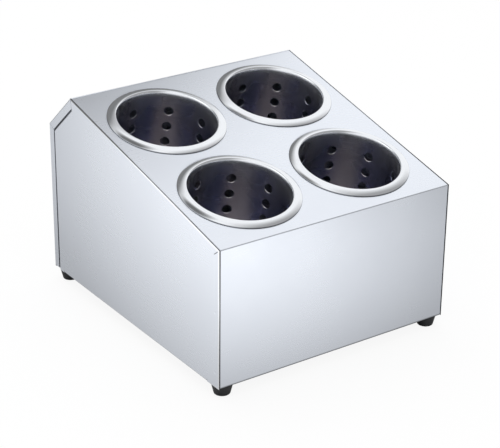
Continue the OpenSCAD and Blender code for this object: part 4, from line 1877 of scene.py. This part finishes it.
@dataclass(frozen=True)
class Studio:
    """A white table in soft light, and the camera at the photograph's angle."""

    lens: float = 124.06
    sensor: float = 36.0
    azimuth: float = -34.908
    elevation: float = 24.926
    roll: float = 0.601
    target: tuple[float, float, float] = (0.0, -3.927, 111.0)
    offset: tuple[float, float, float] = (4.091, -22.539, 1709.54)
    tent: LightTent = LightTent((
        GreyPanel(0.0, 20.0, 31.0, 46.0, 0.22),
        GreyPanel(-60.0, 68.0, 9.0, 20.0, 0.16),
        GreyPanel(150.0, 24.0, 37.0, 60.0, 0.38),
        GreyPanel(-72.0, 46.0, 8.0, 24.0, 1.5),
    ))
    pools: tuple[Pool, ...] = (
        Pool((53.0, -453.0), (415.0, 284.0), 0.12, 1.0, 1.36, -30.5),
        Pool((-1516.0, 42.0), (1179.0, 1500.0), 0.93, 1.1, 1.25, 34.8),
        Pool((-300.0, -320.0), (210.0, 210.0), 0.45, 1.0, 1.2),
    )
    lamps: tuple[Lamp, ...] = (Lamp("soft_lamp_above", (0.2, 0.6, 2.2), 2.4, 22.0),
                               Lamp("soft_lamp_front", (-1.6, -2.0, 1.8), 1.6, 10.0))
    air: float = 0.75
    floor_size: float = 6000.0
    floor_grey: float = 0.9
    floor_glow: float = 0.9
    near_floor: float = 0.48
    under_case: float = 0.12
    under_x: float = 132.5
    under_y: float = 153.9
    under_edge: tuple[float, float] = (0.94, 1.03)
    view_depth: tuple[float, float] = (0.05, 50.0)

    def build(self) -> None:
        """Builds the whole studio."""
        self.camera()
        self.world()
        self.floor()
        self.tent.build()
        for lamp in self.lamps:
            lamp.hang()
        bpy.context.scene.view_settings.view_transform = "Standard"

    def camera(self) -> None:
        """Places the camera."""
        az, el, ro = (math.radians(v) for v in (self.azimuth, self.elevation, self.roll))
        back = Vector((math.sin(az) * math.cos(el), -math.cos(az) * math.cos(el), math.sin(el)))
        right = Vector((math.cos(az), math.sin(az), 0))
        up = back.cross(right)
        spot = Vector(self.target) + right * self.offset[0] + up * self.offset[1] + back * self.offset[2]
        across = right * math.cos(ro) + up * math.sin(ro)
        above = up * math.cos(ro) - right * math.sin(ro)
        data = bpy.data.cameras.new("camera")
        data.lens, data.sensor_width, data.sensor_fit = self.lens, self.sensor, "HORIZONTAL"
        data.clip_start, data.clip_end = self.view_depth
        made = bpy.data.objects.new("camera", data)
        made.matrix_world = (Matrix.Translation(spot * MM)
                             @ Matrix((across, above, back)).transposed().to_4x4())
        bpy.context.scene.collection.objects.link(made)
        bpy.context.scene.camera = made

    def world(self) -> None:
        """Sets an even pale sky, which the camera and the steel see as white."""
        world = bpy.data.worlds.new("studio_air")
        bpy.context.scene.world = world
        world.use_nodes = True
        sky = NodeTree(world.node_tree)
        path = sky.node("ShaderNodeLightPath").outputs
        seen = sky.sum("MAXIMUM", path["Is Glossy Ray"], path["Is Transmission Ray"])
        level = sky.spread(sky.sum("MAXIMUM", path["Is Camera Ray"], seen), self.air, 1.0, 0.0, 1.0)
        light = sky.node("ShaderNodeBackground", {"Color": (1.0, 1.0, 1.0), "Strength": level})
        sky.node("ShaderNodeOutputWorld", {"Surface": light.outputs["Background"]})

    def floor(self) -> None:
        """Lays the pale floor, which stays white to the camera and still takes the object's shadow."""
        shade = Shader("pale_floor")
        shade.dress(Base_Color=(self.floor_grey,) * 3, Roughness=0.9, Specular_IOR_Level=0.0)
        path = shade.node("ShaderNodeLightPath").outputs
        seen = shade.sum("MAXIMUM", path["Is Glossy Ray"], path["Is Transmission Ray"])
        share = shade.spread(path["Is Camera Ray"], 0.0, self.floor_glow, 0.0, 1.0)
        share = shade.sum("MAXIMUM", share, seen)
        level, *others = (pool.glow(shade, self.near_floor) for pool in self.pools)
        for other in others:
            level = shade.sum("MAXIMUM", level, other)
        level = shade.sum("MULTIPLY", level, self.shade_under_case(shade))
        levels = {0: path["Is Camera Ray"], 2: level, 3: 1.0}
        level = shade.node("ShaderNodeMix", levels, data_type="FLOAT").outputs[0]
        white = shade.node("ShaderNodeEmission", {"Color": (1.0, 1.0, 1.0), "Strength": level}).outputs[0]
        parts = {0: share, 1: shade.surface.outputs[0], 2: white}
        shade.fill(shade.output, {"Surface": shade.node("ShaderNodeMixShader", parts).outputs[0]})
        spots = [Vector((x, y, 0)) * self.floor_size for x, y in ((-1, -1), (1, -1), (1, 1), (-1, 1))]
        make_object("floor", spots, [(0, 1, 2, 3)], shade.material)

    def shade_under_case(self, shade: Shader) -> Socket:
        """The factor that darkens the floor under the case, where no lamp reaches.

        Args:
            shade: The floor's material.

        Returns:
            The factor.
        """
        scale = (1 / MM / self.under_x, 1 / MM / self.under_y, 0.0)
        folded = shade.vector("ABSOLUTE", shade.object_space(scale))
        apart = shade.node("ShaderNodeSeparateXYZ", {0: folded}).outputs
        reach = shade.sum("MAXIMUM", apart["X"], apart["Y"])
        return shade.spread(reach, self.under_case, 1.0, *self.under_edge)


def report(pieces: Iterable[bpy.types.Object]) -> None:
    """Logs each piece with its faces."""
    for piece in pieces:
        log.info("%s: %d faces", piece.name, len(piece.data.polygons))


def main() -> None:
    """Builds the studio and the dispenser's sub-assemblies, in order."""
    logging.basicConfig(level=logging.INFO, format="%(name)s: %(message)s")
    Studio().build()
    finishes, case = Finishes(), CaseShape()
    report(CaseSheets(case, finishes).build())
    for (end, side), turn in CUP_TURNS.items():
        report([Cup(CupShape(), case, finishes, side, end, turn).build()])
    report(FootSet(case, finishes).build())


if __name__ == "__main__":
    main()
